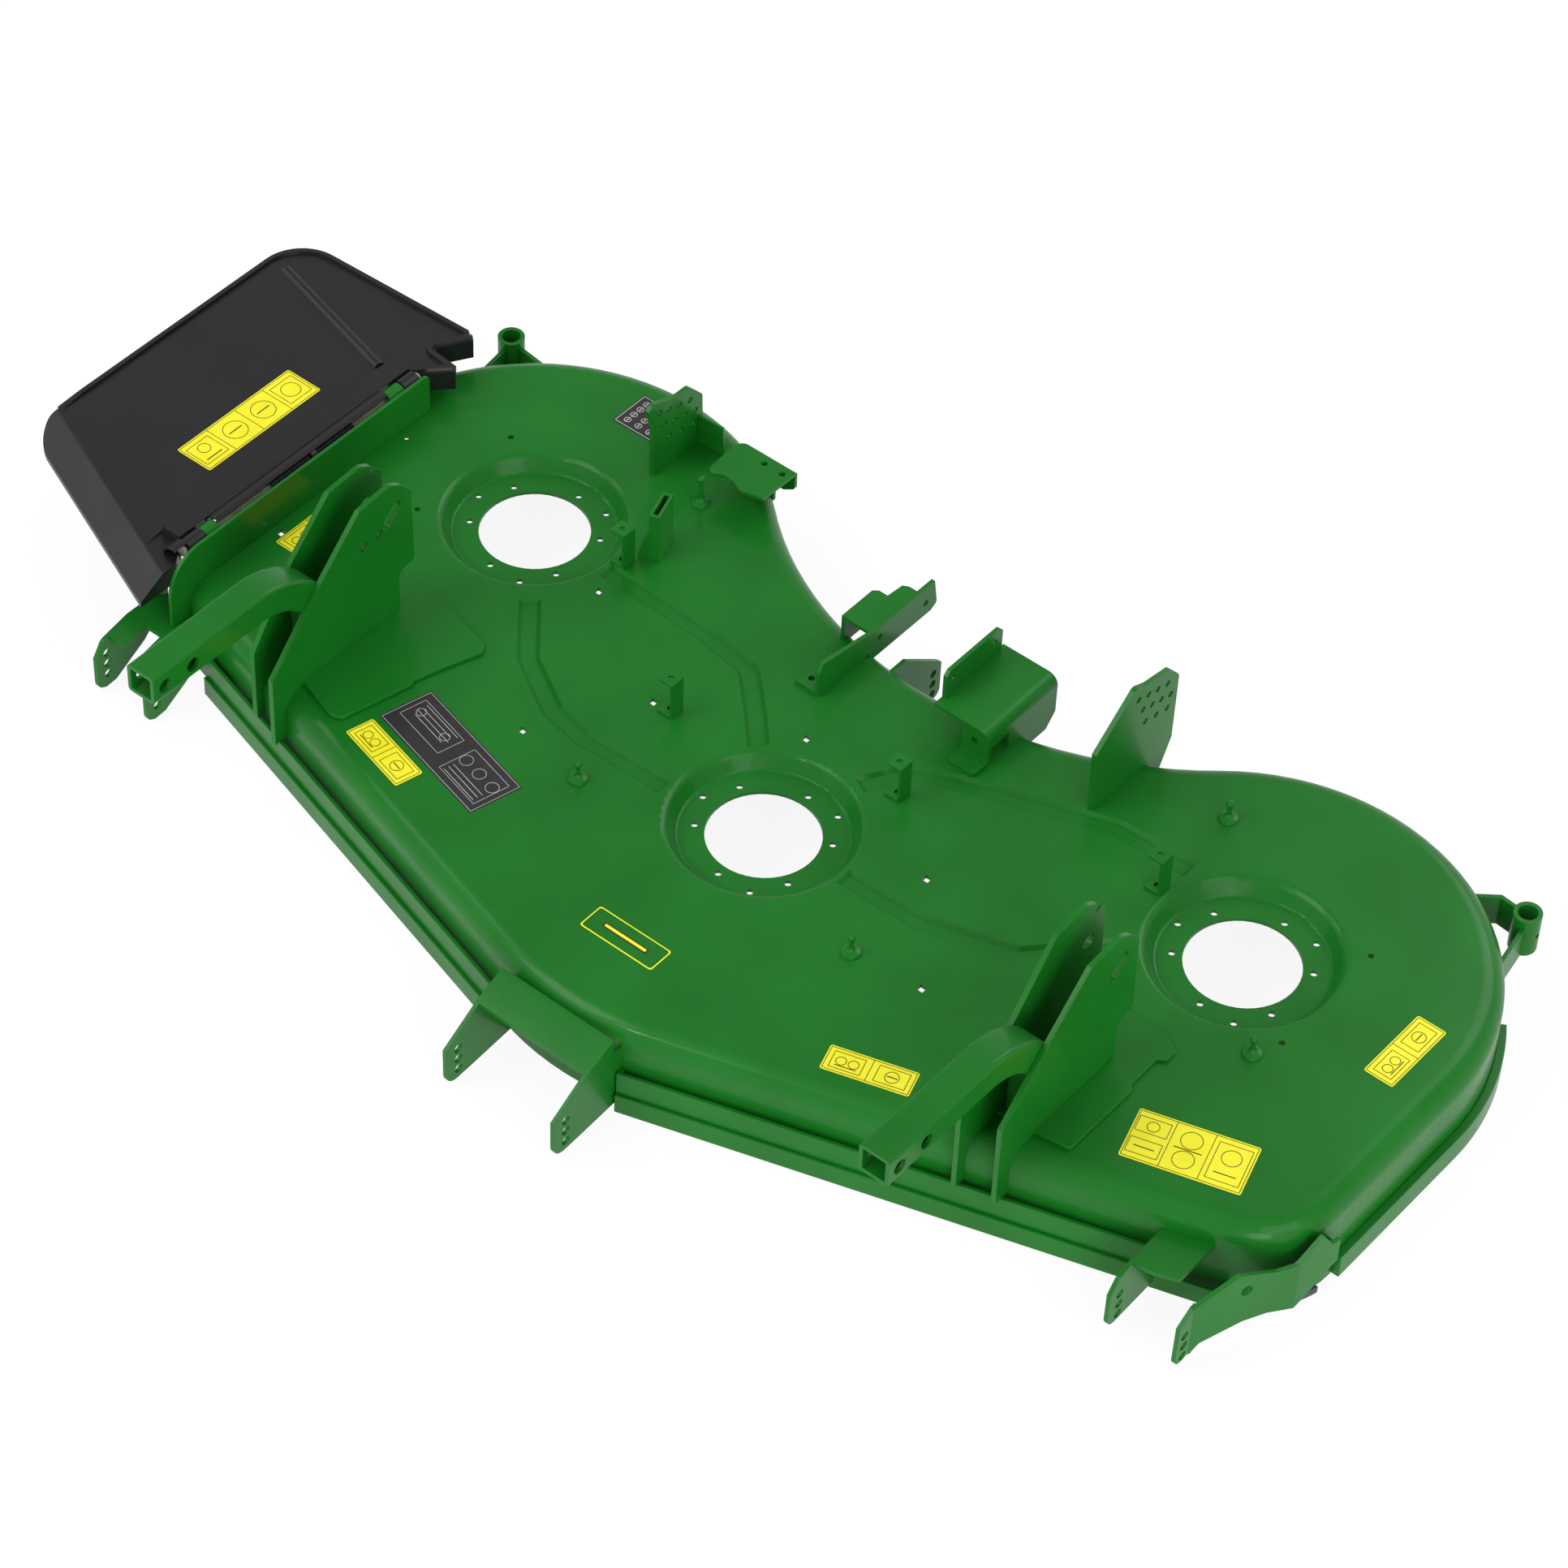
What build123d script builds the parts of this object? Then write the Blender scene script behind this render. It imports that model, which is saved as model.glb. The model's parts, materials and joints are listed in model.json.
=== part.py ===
from build123d import *
from math import atan2, cos, radians, sin, sqrt, tan
import os

os.makedirs("parts", exist_ok=True)

# Riding mower deck, millimetres. The origin is on the axis of the centre spindle, on its
# seat plane. X runs along the width (+X is the machine's left), +Y to the rear, +Z up.

# Sheet and stamped form
sheet = 4.5
deck_top = 20.0
deck_rim = -94.0
spindle_x = 495.3
spindle_y = 190.5
lobe_radius = 275.0
nose_radius = 331.0
valley_radius = 470.0
left_front_angle = 18.0
right_front_angle = 15.3
left_corner_radius = 105.0
top_fillet = 26.0
discharge_edge_x = -707.5
discharge_lobe_angle = 158.0

# Spindle pockets and their bolt holes
pocket_floor_radius = 94.0
pocket_slope_run = 13.0
pocket_rim_round = 14.0
pocket_floor_round = 5.0
pocket_rim_angle = 10.0
spindle_bore_radius = 63.5
bolt_circle_radius = 75.0
bolt_hole_radius = 4.0
puller_circle_radius = 85.0

# Pressed grooves in the top
groove_width = 25.0
groove_depth = 4.5
groove_taper = 40.0
groove_bend = 25.0
groove_routes = [
    [(-380, 180), (-225, 175), (-160, 165), (-115, 122), (-76, 82)],
    [(-413, 90), (-352, 18), (-280, -24), (-230, -34), (-112, -30)],
    [(42, 108), (62, 145), (110, 178), (290, 243), (385, 245)],
    [(112, -5), (215, -3), (322, 28), (395, 110)],
]

# Small holes in the top
round_hole_radius = 3.5
round_holes = [(-603.5, 271.5), (-602.5, 112.5), (600, 271.5), (600.5, 112.5), (-692, 192)]
weld_nut_width = 13.0
weld_nut_height = 6.5
square_hole = 8.0
square_holes = [
    (-362.8, 148),
    (-44.5, 124.5),
    (-690, -17),
    (-282.4, -68.8),
    (182.6, 49.6),
    (275, -74.6),
    (-204.8, 57.2),
]
slit_length = 23.0
slit_width = 3.0
slit_centres = [(-690, 96), (-690, 66)]

# Chute hinge
wall_sheet = 4.5
hinge_wall_top = 74.0
hinge_wall_rear_y = 244.7
hinge_wall_front_y = -179.0
hinge_wall_low_z = -17.0
hinge_wall_round = 50.0
hinge_wall_rear_round = 8.0
hinge_x = -721.0
hinge_z = 60.0
pin_diameter = 9.5
pin_head_diameter = 15.0
pin_head = 4.0
pin_clearance = 0.06
knuckle_radius = 12.0
ear_radius = 11.0
ear_neck_top_z = 63.0
hinge_scoop_radius = 14.0
side_play = 1.0
front_knuckle = (-136.0, -110.0)
front_ear = (-109.0, -89.0)
middle_knuckle = (61.0, 69.0)
rear_ear = (189.0, 213.0)
rear_knuckle = (214.0, 238.0)
spring_wire_radius = 1.7
spring_radius = 6.9
spring_pitch = 6.6
spring_turns = 9

# Discharge chute
chute_top_z = 60.0
chute_skirt = 26.0
chute_wall = 5.0
chute_edge_round = 9.0
chute_rim = 3.5
chute_rim_width = 8.0
chute_rim_inset = 3.0
chute_field = 3.5
chute_field_inset = 17.0
chute_slope_run = 34.0
chute_slope_drop = 19.0
chute_strip_far_x = -758.0
chute_strip_near_x = -728.2
chute_strip_top_z = 72.0
chute_far_x = -994.0
chute_front_y = -216.0

# Arms
arm_tube = 38.1
arm_tube_wall = 4.8
arm_tube_round = 5.0
arm_z = 165.0
arm_front_y = -389.0
arm_bend_radius = 101.0
arm_leg_y = -128.0
arm_hole_radius = 8.75
arm_hole_y = (-372.0, -330.0)
arm_plate = 6.35
foot_plate = 5.0
left_arm_x = 458.0
right_arm_x = -532.0

# Front strips, side band and skid
strip_thickness = 5.0
upper_strip_distance = nose_radius + 11.0
lower_strip_distance = nose_radius + 15.0
strip_top_z = -38.0
strip_step_z = -68.0
strip_return = 6.0
band_thickness = 9.5
band_top_z = -62.0
band_rear_angle = 35.0
band_front_y = -18.0
skid_thickness = 8.0
skid_height = 10.0

# Roller brackets
bracket_sheet = 5.0
roller_hole_radius = 5.6
roller_hole_pitch = 15.75
roller_hole_top_z = -46.5
roller_holes = 3
centre_prong_x = (-74.2, 74.3)
centre_hole_reach = 78.0
right_prong_x = (-756.0, -680.3)
right_hole_reach = 89.3
left_prong_x = 640.0
left_hole_reach = 73.42
guard_prong_x = 721.0
rear_prong_x = (-47.0, 28.7)
rear_hole_reach = 69.7

# Rear gauge wheel tubes
wheel_tube_outer = 15.9
wheel_tube_bore = 11.0
wheel_tube_length = 51.0
wheel_bracket_top_z = -10.0
left_wheel_reach = 43.3
left_wheel_angle = 54.31
right_wheel_reach = 54.7
right_wheel_angle = 136.37

# Hangers and small brackets
hanger_sheet = 6.0
hanger_hole_radius = 4.0
left_hanger_x = 247.0
right_hanger_x = -446.0
light_sheet = 4.0
clip_sheet = 3.0
clip_height = 47.0
clip_width = 20.0
clip_hole_radius = 3.5
clip_places = [(-375, 202), (81, 126), (372, 202), (-183, 60)]
stud_ball_radius = 4.2
stud_neck_radius = 2.6
stud_places = [(-371, 332, 40), (370, 332, 26), (586, 80, 26), (-190, -84, 26), (188, -84, 26)]

# Front baffle under the deck
baffle_sheet = 3.0
baffle_inner_radius = 267.0
baffle_rim_z = -70.0


# Shape helpers


def plate(plane, points, thickness, rounds=()):
    """A flat plate cut to a polygon; rounds lists (corner, radius)."""
    with BuildPart() as piece:
        with BuildSketch(plane) as face:
            with BuildLine():
                Polyline(*points, close=True)
            make_face()
            for corner, radius in rounds:
                fillet(face.vertices().sort_by_distance(corner)[0], radius)
        extrude(amount=thickness)
    return piece.part


def pegs(plane, centres, radius, length):
    """Round bars across a plane, used for bores and studs."""
    with BuildPart() as piece:
        with BuildSketch(plane):
            with Locations(*centres):
                Circle(radius)
        extrude(amount=length)
    return piece.part


def side_plate(x, points, thickness, rounds=()):
    """A plate that stands along the deck at x, drawn as (y, z)."""
    return plate(Plane.YZ.offset(x), points, thickness, rounds)


def moved(points, along_y):
    """The same (y, z) points, further along the deck."""
    return [(y + along_y, z) for y, z in points]


def flat_plate(z, points, thickness, rounds=()):
    """A plate that lies at height z, drawn as (x, y)."""
    return plate(Plane.XY.offset(z), points, thickness, rounds)


def bent_strip(points, thickness, low_z, high_z):
    """A strip on edge that follows a line of plan points."""
    with BuildPart() as piece:
        with BuildSketch(Plane.XY.offset(low_z)):
            with BuildLine():
                Polyline(*points)
            trace(line_width=thickness)
        extrude(amount=high_z - low_z)
    return piece.part


def turned_bar(start, axis_y, radius):
    """A round bar along the hinge axis from y = start to y = axis_y."""
    return pegs(Plane.XZ.offset(-axis_y), [(hinge_x, hinge_z)], radius, axis_y - start)


# Plan of the stamped form

left_normal = (sin(radians(left_front_angle)), -cos(radians(left_front_angle)))
right_normal = (-sin(radians(right_front_angle)), -cos(radians(right_front_angle)))
valley_y = spindle_y + sqrt((lobe_radius + valley_radius) ** 2 - spindle_x**2)
shell_side_x = spindle_x + lobe_radius


def wall_y(normal, distance, x):
    """Y of a front wall line at x, for a wall at a distance from the centre spindle."""
    return (distance - normal[0] * x) / normal[1]


left_corner_y = wall_y(left_normal, nose_radius, shell_side_x)


def outline(inset):
    """Plan outline, inset from the outer wall."""
    lobe = lobe_radius - inset
    nose = nose_radius - inset
    share = lobe / (lobe_radius + valley_radius)
    valley_left = (spindle_x * (1 - share), spindle_y + (valley_y - spindle_y) * share)
    valley_right = (-valley_left[0], valley_left[1])
    side_x = spindle_x + lobe
    middle = lobe * cos(radians(45))
    corner_left = (side_x, wall_y(left_normal, nose, side_x))
    corner_right = (-side_x, wall_y(right_normal, nose, -side_x))
    nose_left = (nose * left_normal[0], nose * left_normal[1])
    nose_right = (nose * right_normal[0], nose * right_normal[1])
    with BuildSketch() as plan:
        with BuildLine():
            valley_low = (0, valley_y - valley_radius - inset)
            ThreePointArc(valley_right, valley_low, valley_left)
            lobe_left = (spindle_x + middle, spindle_y + middle)
            ThreePointArc(valley_left, lobe_left, (side_x, spindle_y))
            Line((side_x, spindle_y), corner_left)
            Line(corner_left, nose_left)
            ThreePointArc(nose_left, (0, -nose), nose_right)
            Line(nose_right, corner_right)
            Line(corner_right, (-side_x, spindle_y))
            lobe_right = (-spindle_x - middle, spindle_y + middle)
            ThreePointArc((-side_x, spindle_y), lobe_right, valley_right)
        make_face()
        fillet(plan.vertices().sort_by_distance(corner_left)[0], left_corner_radius - inset)
    return plan.sketch


def formed_block(inset):
    """Solid under the stamped top, inset from its outer surface."""
    with BuildPart() as block:
        with BuildSketch(Plane.XY.offset(deck_rim)):
            add(outline(inset))
        extrude(amount=deck_top - deck_rim - inset)
        fillet(block.faces().sort_by(Axis.Z)[-1].edges(), top_fillet - inset)
    return block.part


def pocket(grow):
    """The dish of one spindle seat, grown by the sheet for its underside."""
    slope = atan2(deck_top, pocket_slope_run)
    last = radians(pocket_rim_angle)
    middle = (slope + last) / 2
    start_z = deck_top - pocket_rim_round * (cos(last) - cos(slope))
    start_r = pocket_floor_radius + start_z / tan(slope)

    def rim(angle):
        radius = start_r + pocket_rim_round * (sin(slope) - sin(angle)) + grow * sin(angle)
        height = start_z + pocket_rim_round * (cos(angle) - cos(slope)) - grow * cos(angle)
        return (radius, height)

    corner = (pocket_floor_radius + grow * tan(slope / 2), -grow)
    with BuildPart() as dish:
        with BuildSketch(Plane.XZ) as profile:
            with BuildLine():
                Polyline((0, -grow), corner, rim(slope))
                ThreePointArc(rim(slope), rim(middle), rim(last))
                Polyline(rim(last), (rim(last)[0], deck_top + 1), (0, deck_top + 1), (0, -grow))
            make_face()
            fillet(profile.vertices().sort_by_distance(corner)[0], pocket_floor_round + grow)
        revolve(axis=Axis.Z)
    return dish.part


def grooves(grow):
    """The pressed grooves, grown by the sheet for their underside."""
    lift = 1.0
    side = radians(groove_taper)
    half = groove_width / 2 + grow * (1 / cos(side) - tan(side)) + lift * tan(side)
    with BuildPart() as tool:
        for route in groove_routes:
            with BuildSketch(Plane.XY.offset(deck_top - grow + lift)):
                with BuildLine():
                    FilletPolyline(*route, radius=groove_bend)
                trace(line_width=2 * half)
            extrude(amount=-groove_depth - lift, taper=groove_taper)
    return tool.part


spindles = [(0, 0), (spindle_x, spindle_y), (-spindle_x, spindle_y)]
deck_block = formed_block(0)
lobe_end = (
    -spindle_x + lobe_radius * cos(radians(discharge_lobe_angle)),
    spindle_y + lobe_radius * sin(radians(discharge_lobe_angle)),
)

# Deck shell: one stamping, open below and at the discharge side

with BuildPart() as cavity:
    add(formed_block(sheet))
    with Locations(*spindles):
        add(pocket(sheet), mode=Mode.SUBTRACT)
    add(grooves(sheet), mode=Mode.SUBTRACT)

with BuildPart() as deck_shell:
    add(deck_block)
    add(cavity.part, mode=Mode.SUBTRACT)
    with Locations(*spindles):
        add(pocket(0), mode=Mode.SUBTRACT)
    add(grooves(0), mode=Mode.SUBTRACT)
    with BuildSketch(Plane.XY.offset(deck_rim)) as discharge:
        with BuildLine():
            far_x = discharge_edge_x - 200
            slope = (lobe_end[1] - hinge_wall_rear_y) / (lobe_end[0] - discharge_edge_x)
            run_out_y = hinge_wall_rear_y - 90 * slope
            Polyline(
                (discharge_edge_x, -400),
                (discharge_edge_x, hinge_wall_rear_y),
                (discharge_edge_x - 90, run_out_y),
                (far_x, run_out_y),
                (far_x, -400),
                close=True,
            )
        make_face()
    extrude(amount=deck_top - deck_rim, mode=Mode.SUBTRACT)
    with BuildSketch(Plane.XY.offset(-sheet)):
        for place in spindles:
            with Locations(place):
                Circle(spindle_bore_radius)
                with PolarLocations(bolt_circle_radius, 6, start_angle=30):
                    Circle(bolt_hole_radius)
                with PolarLocations(puller_circle_radius, 3, start_angle=60):
                    Circle(bolt_hole_radius)
        with Locations(*round_holes):
            Circle(round_hole_radius)
        with Locations(*square_holes):
            Rectangle(square_hole, square_hole)
        with Locations(*slit_centres):
            Rectangle(slit_length, slit_width)
    extrude(amount=deck_top + sheet, mode=Mode.SUBTRACT)
deck_shell.part.label = "deck_shell"
export_step(deck_shell.part, "parts/deck_shell.step")

# Chute hinge wall: an upright plate along the discharge edge, rounded over the front wall

with BuildPart() as chute_hinge_wall:
    with BuildSketch(Plane.YZ.offset(discharge_edge_x)) as wall_face:
        with BuildLine():
            Polyline(
                (hinge_wall_rear_y, deck_top),
                (hinge_wall_rear_y, hinge_wall_top),
                (hinge_wall_front_y, hinge_wall_top),
                (hinge_wall_front_y, hinge_wall_low_z),
                (wall_y(right_normal, nose_radius, discharge_edge_x) + 40, hinge_wall_low_z),
                (wall_y(right_normal, nose_radius, discharge_edge_x) + 40, deck_top),
                close=True,
            )
        make_face()
        front_top = (hinge_wall_front_y, hinge_wall_top)
        fillet(wall_face.vertices().sort_by_distance(front_top)[0], hinge_wall_round)
        rear_top = (hinge_wall_rear_y, hinge_wall_top)
        fillet(wall_face.vertices().sort_by_distance(rear_top)[0], hinge_wall_rear_round)
    extrude(amount=wall_sheet)
    add(deck_block, mode=Mode.SUBTRACT)
chute_hinge_wall.part.label = "chute_hinge_wall"
export_step(chute_hinge_wall.part, "parts/chute_hinge_wall.step")

# Hinge ears: two lugs welded to the wall, bored for the pin

with BuildPart() as chute_hinge_ears:
    for ear in (front_ear, rear_ear):
        with BuildSketch(Plane.XZ.offset(-ear[1])):
            with Locations((hinge_x, hinge_z)):
                Circle(ear_radius)
            neck = discharge_edge_x - hinge_x
            with Locations((hinge_x + neck / 2, (hinge_z - ear_radius + ear_neck_top_z) / 2)):
                Rectangle(neck, ear_neck_top_z - hinge_z + ear_radius)
            with Locations((hinge_x, hinge_z)):
                Circle(pin_diameter / 2 + pin_clearance, mode=Mode.SUBTRACT)
        extrude(amount=ear[1] - ear[0])
chute_hinge_ears.part.label = "chute_hinge_ears"
export_step(chute_hinge_ears.part, "parts/chute_hinge_ears.step")

# Hinge pin with a head at each end

with BuildPart() as chute_hinge_pin:
    pin_front = front_knuckle[0] - side_play
    pin_rear = rear_knuckle[1] + side_play
    add(turned_bar(pin_front, pin_rear, pin_diameter / 2))
    add(turned_bar(pin_front - pin_head, pin_front, pin_head_diameter / 2))
    add(turned_bar(pin_rear, pin_rear + pin_head, pin_head_diameter / 2))
    heads = chute_hinge_pin.faces().sort_by(Axis.Y)
    fillet([heads[0].edges()[0], heads[-1].edges()[0]], 1.2)
chute_hinge_pin.part.label = "chute_hinge_pin"
export_step(chute_hinge_pin.part, "parts/chute_hinge_pin.step")


def torsion_spring(first_y):
    """Coil round the hinge pin, from first_y rearward."""
    length = spring_pitch * spring_turns
    centre = (hinge_x, first_y + spring_wire_radius, hinge_z)
    with BuildPart() as spring:
        with BuildLine() as coil:
            Helix(spring_pitch, length, spring_radius, center=centre, direction=(0, 1, 0))
        with BuildSketch(Plane(origin=coil.line @ 0, z_dir=coil.line % 0)):
            RegularPolygon(spring_wire_radius, 6)
        sweep(is_frenet=True)
    return spring.part


with BuildPart() as chute_spring_front:
    add(torsion_spring(middle_knuckle[0] - 2 * side_play - spring_pitch * (spring_turns + 0.6)))
chute_spring_front.part.label = "chute_spring_front"
export_step(chute_spring_front.part, "parts/chute_spring_front.step")

with BuildPart() as chute_spring_rear:
    add(torsion_spring(middle_knuckle[1] + side_play))
chute_spring_rear.part.label = "chute_spring_rear"
export_step(chute_spring_rear.part, "parts/chute_spring_rear.step")

# Discharge chute: a moulded tray with a turned-down skirt, raised rim and hinge strip

chute_front_near = (discharge_edge_x - 4.5, chute_front_y)
chute_far_front = (chute_far_x, -101.6)
chute_far_rear = (chute_far_x, 334.0)
chute_near_y = (front_knuckle[0], rear_knuckle[1] + 5)
chute_plan = [
    chute_front_near,
    (discharge_edge_x - 4.5, -160),
    (chute_strip_near_x, chute_near_y[0]),
    (chute_strip_near_x, chute_near_y[1]),
    (-695, 279),
    (-701, 287),
    (-741, 291),
    (-716, 333),
    (-728, 344),
    chute_far_rear,
    chute_far_front,
]
chute_corner_rounds = [(chute_far_front, 62.0), (chute_far_rear, 60.0), ((-741, 291), 4.0)]


def chute_sketch(inset):
    with BuildSketch() as plan:
        with BuildLine():
            Polyline(*chute_plan, close=True)
        make_face()
        for corner, radius in chute_corner_rounds:
            fillet(plan.vertices().sort_by_distance(corner)[0], radius)
        if inset > 0:
            offset(amount=-inset, kind=Kind.INTERSECTION)
    return plan.sketch


def chute_slope(depth):
    """The corner that the slope along the front edge takes off, set back by a depth."""
    run = chute_far_front[0] - chute_front_near[0]
    rise = chute_far_front[1] - chute_front_near[1]
    length = sqrt(run**2 + rise**2)
    edge = Plane(
        origin=(*chute_front_near, chute_top_z),
        x_dir=(-rise / length, run / length, 0),
        z_dir=(run / length, rise / length, 0),
    )
    inward = -1 if edge.x_dir.Y < 0 else 1
    up = 1 if edge.y_dir.Z > 0 else -1
    drop = chute_slope_drop
    corner = [(-20, -drop - 20 * drop / chute_slope_run), (-20, 40), (chute_slope_run + 40, 40)]
    corner += [(chute_slope_run + 40, chute_rim + 0.5), (chute_slope_run, 0)]
    with BuildPart() as tool:
        with BuildSketch(edge) as section:
            with BuildLine():
                Polyline(*[(inward * a, up * (b - depth)) for a, b in corner], close=True)
            make_face()
            for a, b in corner[-1:]:
                fillet(section.vertices().sort_by_distance((inward * a, up * (b - depth)))[0], 20)
        extrude(amount=400, both=True)
    return tool.part


with BuildPart() as discharge_chute:
    skirt_z = chute_top_z - chute_skirt
    with BuildSketch(Plane.XY.offset(skirt_z)):
        add(chute_sketch(0))
    extrude(amount=chute_skirt)
    outer_edges = discharge_chute.faces().sort_by(Axis.Z)[-1].edges()
    far_edges = [edge for edge in outer_edges if edge.center().X < chute_strip_far_x - 12]
    fillet(far_edges, chute_edge_round)
    with BuildPart() as hollow:
        with BuildSketch(Plane.XY.offset(skirt_z)):
            add(chute_sketch(chute_wall))
        extrude(amount=chute_skirt - chute_wall)
        add(chute_slope(chute_wall + 1.5), mode=Mode.SUBTRACT)
    add(hollow.part, mode=Mode.SUBTRACT)
    near_mid_y = (chute_near_y[0] + chute_near_y[1]) / 2
    with BuildSketch(Plane.XY.offset(skirt_z)):
        with Locations((chute_strip_near_x, near_mid_y)):
            Rectangle(4 * chute_wall, chute_near_y[1] - chute_near_y[0] - 2)
    extrude(amount=chute_skirt - chute_wall, mode=Mode.SUBTRACT)
    hinge_side = [(chute_strip_far_x, -260), (-690, -260), (-690, 243), (chute_strip_far_x, 243)]
    with BuildSketch(Plane.XY.offset(chute_top_z)):
        add(chute_sketch(chute_rim_inset))
        add(chute_sketch(chute_rim_inset + chute_rim_width), mode=Mode.SUBTRACT)
        with BuildLine():
            Polyline(*hinge_side, close=True)
        make_face(mode=Mode.SUBTRACT)
    extrude(amount=chute_rim, taper=20)
    with BuildSketch(Plane.XY.offset(chute_top_z)):
        add(chute_sketch(chute_field_inset))
        with BuildLine():
            ridge = [(chute_far_x - 10, 296), (chute_far_x + 29, 290), (chute_strip_far_x, 241)]
            Polyline(*ridge, (chute_strip_far_x, -260), (chute_far_x - 10, -260), close=True)
        make_face(mode=Mode.INTERSECT)
    extrude(amount=chute_field, taper=30)
    add(chute_slope(0), mode=Mode.SUBTRACT)
    strip_width = chute_strip_near_x - chute_strip_far_x
    with BuildSketch(Plane.XY.offset(chute_top_z)):
        with Locations((chute_strip_near_x - strip_width / 2, near_mid_y)):
            Rectangle(strip_width, chute_near_y[1] - chute_near_y[0])
    extrude(amount=chute_strip_top_z - chute_top_z, taper=8)
    for knuckle in (front_knuckle, middle_knuckle, rear_knuckle):
        add(turned_bar(knuckle[0], knuckle[1], knuckle_radius))
    scoops = [
        (front_knuckle[1], middle_knuckle[0]),
        (middle_knuckle[1], rear_knuckle[0]),
        (chute_near_y[0] - 9, front_knuckle[0]),
        (rear_knuckle[1], chute_near_y[1] + 1),
    ]
    for scoop in scoops:
        add(turned_bar(scoop[0], scoop[1], hinge_scoop_radius), mode=Mode.SUBTRACT)
    bore = pin_diameter / 2 + pin_clearance
    add(turned_bar(chute_near_y[0], chute_near_y[1], bore), mode=Mode.SUBTRACT)
discharge_chute.part.label = "discharge_chute"
export_step(discharge_chute.part, "parts/discharge_chute.step")

# Arms: bent square tubes that carry the deck at the front, each between two side plates

arm_low_z = deck_top + foot_plate


def arm(x):
    """Bent square tube with its open end to the front."""
    with BuildPart() as tube:
        with BuildLine(Plane.YZ.offset(x)) as route:
            FilletPolyline(
                (arm_front_y, arm_z),
                (arm_leg_y, arm_z),
                (arm_leg_y, arm_low_z),
                radius=arm_bend_radius,
            )
        inner = arm_tube - 2 * arm_tube_wall
        with BuildSketch(Plane(origin=(x, arm_front_y, arm_z), z_dir=(0, 1, 0))):
            RectangleRounded(arm_tube, arm_tube, arm_tube_round)
            RectangleRounded(inner, inner, 1.5, mode=Mode.SUBTRACT)
        sweep()
        centres = [(y, arm_z - 2) for y in arm_hole_y]
        across = pegs(Plane.YZ.offset(x - arm_tube), centres, arm_hole_radius, 2 * arm_tube)
        add(across, mode=Mode.SUBTRACT)
    return tube.part


with BuildPart() as left_arm_tube:
    add(arm(left_arm_x))
left_arm_tube.part.label = "left_arm_tube"
export_step(left_arm_tube.part, "parts/left_arm_tube.step")

with BuildPart() as right_arm_tube:
    add(arm(right_arm_x))
right_arm_tube.part.label = "right_arm_tube"
export_step(right_arm_tube.part, "parts/right_arm_tube.step")

with BuildPart() as left_arm_foot:
    left_foot_plan = [(431, -158), (484, -153), (525, -147), (525, -44), (519.5, -38)]
    left_foot_plan += [(519, 7), (528, 13), (527, 28), (505, 40), (431, 40)]
    add(flat_plate(deck_top, left_foot_plan, foot_plate, [((525, -147), 6), ((527, 28), 5)]))
left_arm_foot.part.label = "left_arm_foot"
export_step(left_arm_foot.part, "parts/left_arm_foot.step")

with BuildPart() as right_arm_foot:
    right_foot_plan = [(-502, -176), (-450.6, -192), (-438, -187), (-416, -100), (-418.5, -93)]
    right_foot_plan += [(-406, -52.5), (-391.5, -12), (-399, -1.3), (-467.5, 17.2)]
    right_foot_plan += [(-565, 20), (-565, -165)]
    add(flat_plate(deck_top, right_foot_plan, foot_plate, [((-438, -187), 6)]))
right_arm_foot.part.label = "right_arm_foot"
export_step(right_arm_foot.part, "parts/right_arm_foot.step")


def arm_cheek(x, front_y, knee_z, slots, lift=0.0):
    """Side plate of an arm, standing on the foot and over the front wall."""
    outline_points = [(front_y, strip_top_z), (front_y, knee_z), (-140, 150), (-79, 210 + lift)]
    outline_points += [(-29, 214 + lift), (-14, 205 + lift), (3, 186 + lift), (5, 80), (-20, 80)]
    outline_points += [(-20, arm_low_z), (-120, arm_low_z), (-120, strip_top_z)]
    rounds = [((-29, 214 + lift), 12), ((-14, 205 + lift), 12), ((3, 186 + lift), 6)]
    rounds += [((5, 80), 8), ((-20, 80), 12)]
    with BuildPart() as cheek:
        add(side_plate(x, outline_points, arm_plate, rounds))
        with BuildSketch(Plane.YZ.offset(x)):
            for place, length, width, tilt in slots:
                with Locations(Location((place[0], place[1] + lift), tilt)):
                    SlotOverall(length, width)
        extrude(amount=arm_plate, mode=Mode.SUBTRACT)
        add(deck_block, mode=Mode.SUBTRACT)
        add(left_arm_foot.part, mode=Mode.SUBTRACT)
        add(right_arm_foot.part, mode=Mode.SUBTRACT)
    return cheek.part


half_arm = arm_tube / 2
hand_slot = ((-29, 170), 36.0, 14.0, 47.0)
lock_slots = [((-10.5, 196), 9.0, 8.0, 0.0), ((-22, 155), 18.5, 18.0, 0.0)]
lock_slots += [((-19, 127), 8.0, 7.0, 0.0)]
left_front_wall = wall_y(left_normal, nose_radius, left_arm_x)
right_front_wall = wall_y(right_normal, nose_radius, right_arm_x)
vent_slots = [((-48.5, 155.6), 12.0, 8.0, 47.0), ((-73, 154), 12.0, 8.0, 47.0)]

with BuildPart() as left_arm_outer_plate:
    add(arm_cheek(left_arm_x + half_arm, left_front_wall - 11.8, 75.0, [hand_slot]))
left_arm_outer_plate.part.label = "left_arm_outer_plate"
export_step(left_arm_outer_plate.part, "parts/left_arm_outer_plate.step")

with BuildPart() as left_arm_inner_plate:
    inner_x = left_arm_x - half_arm - arm_plate
    add(arm_cheek(inner_x, left_front_wall - 20.8, 75.0, lock_slots, lift=14.0))
left_arm_inner_plate.part.label = "left_arm_inner_plate"
export_step(left_arm_inner_plate.part, "parts/left_arm_inner_plate.step")

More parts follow.
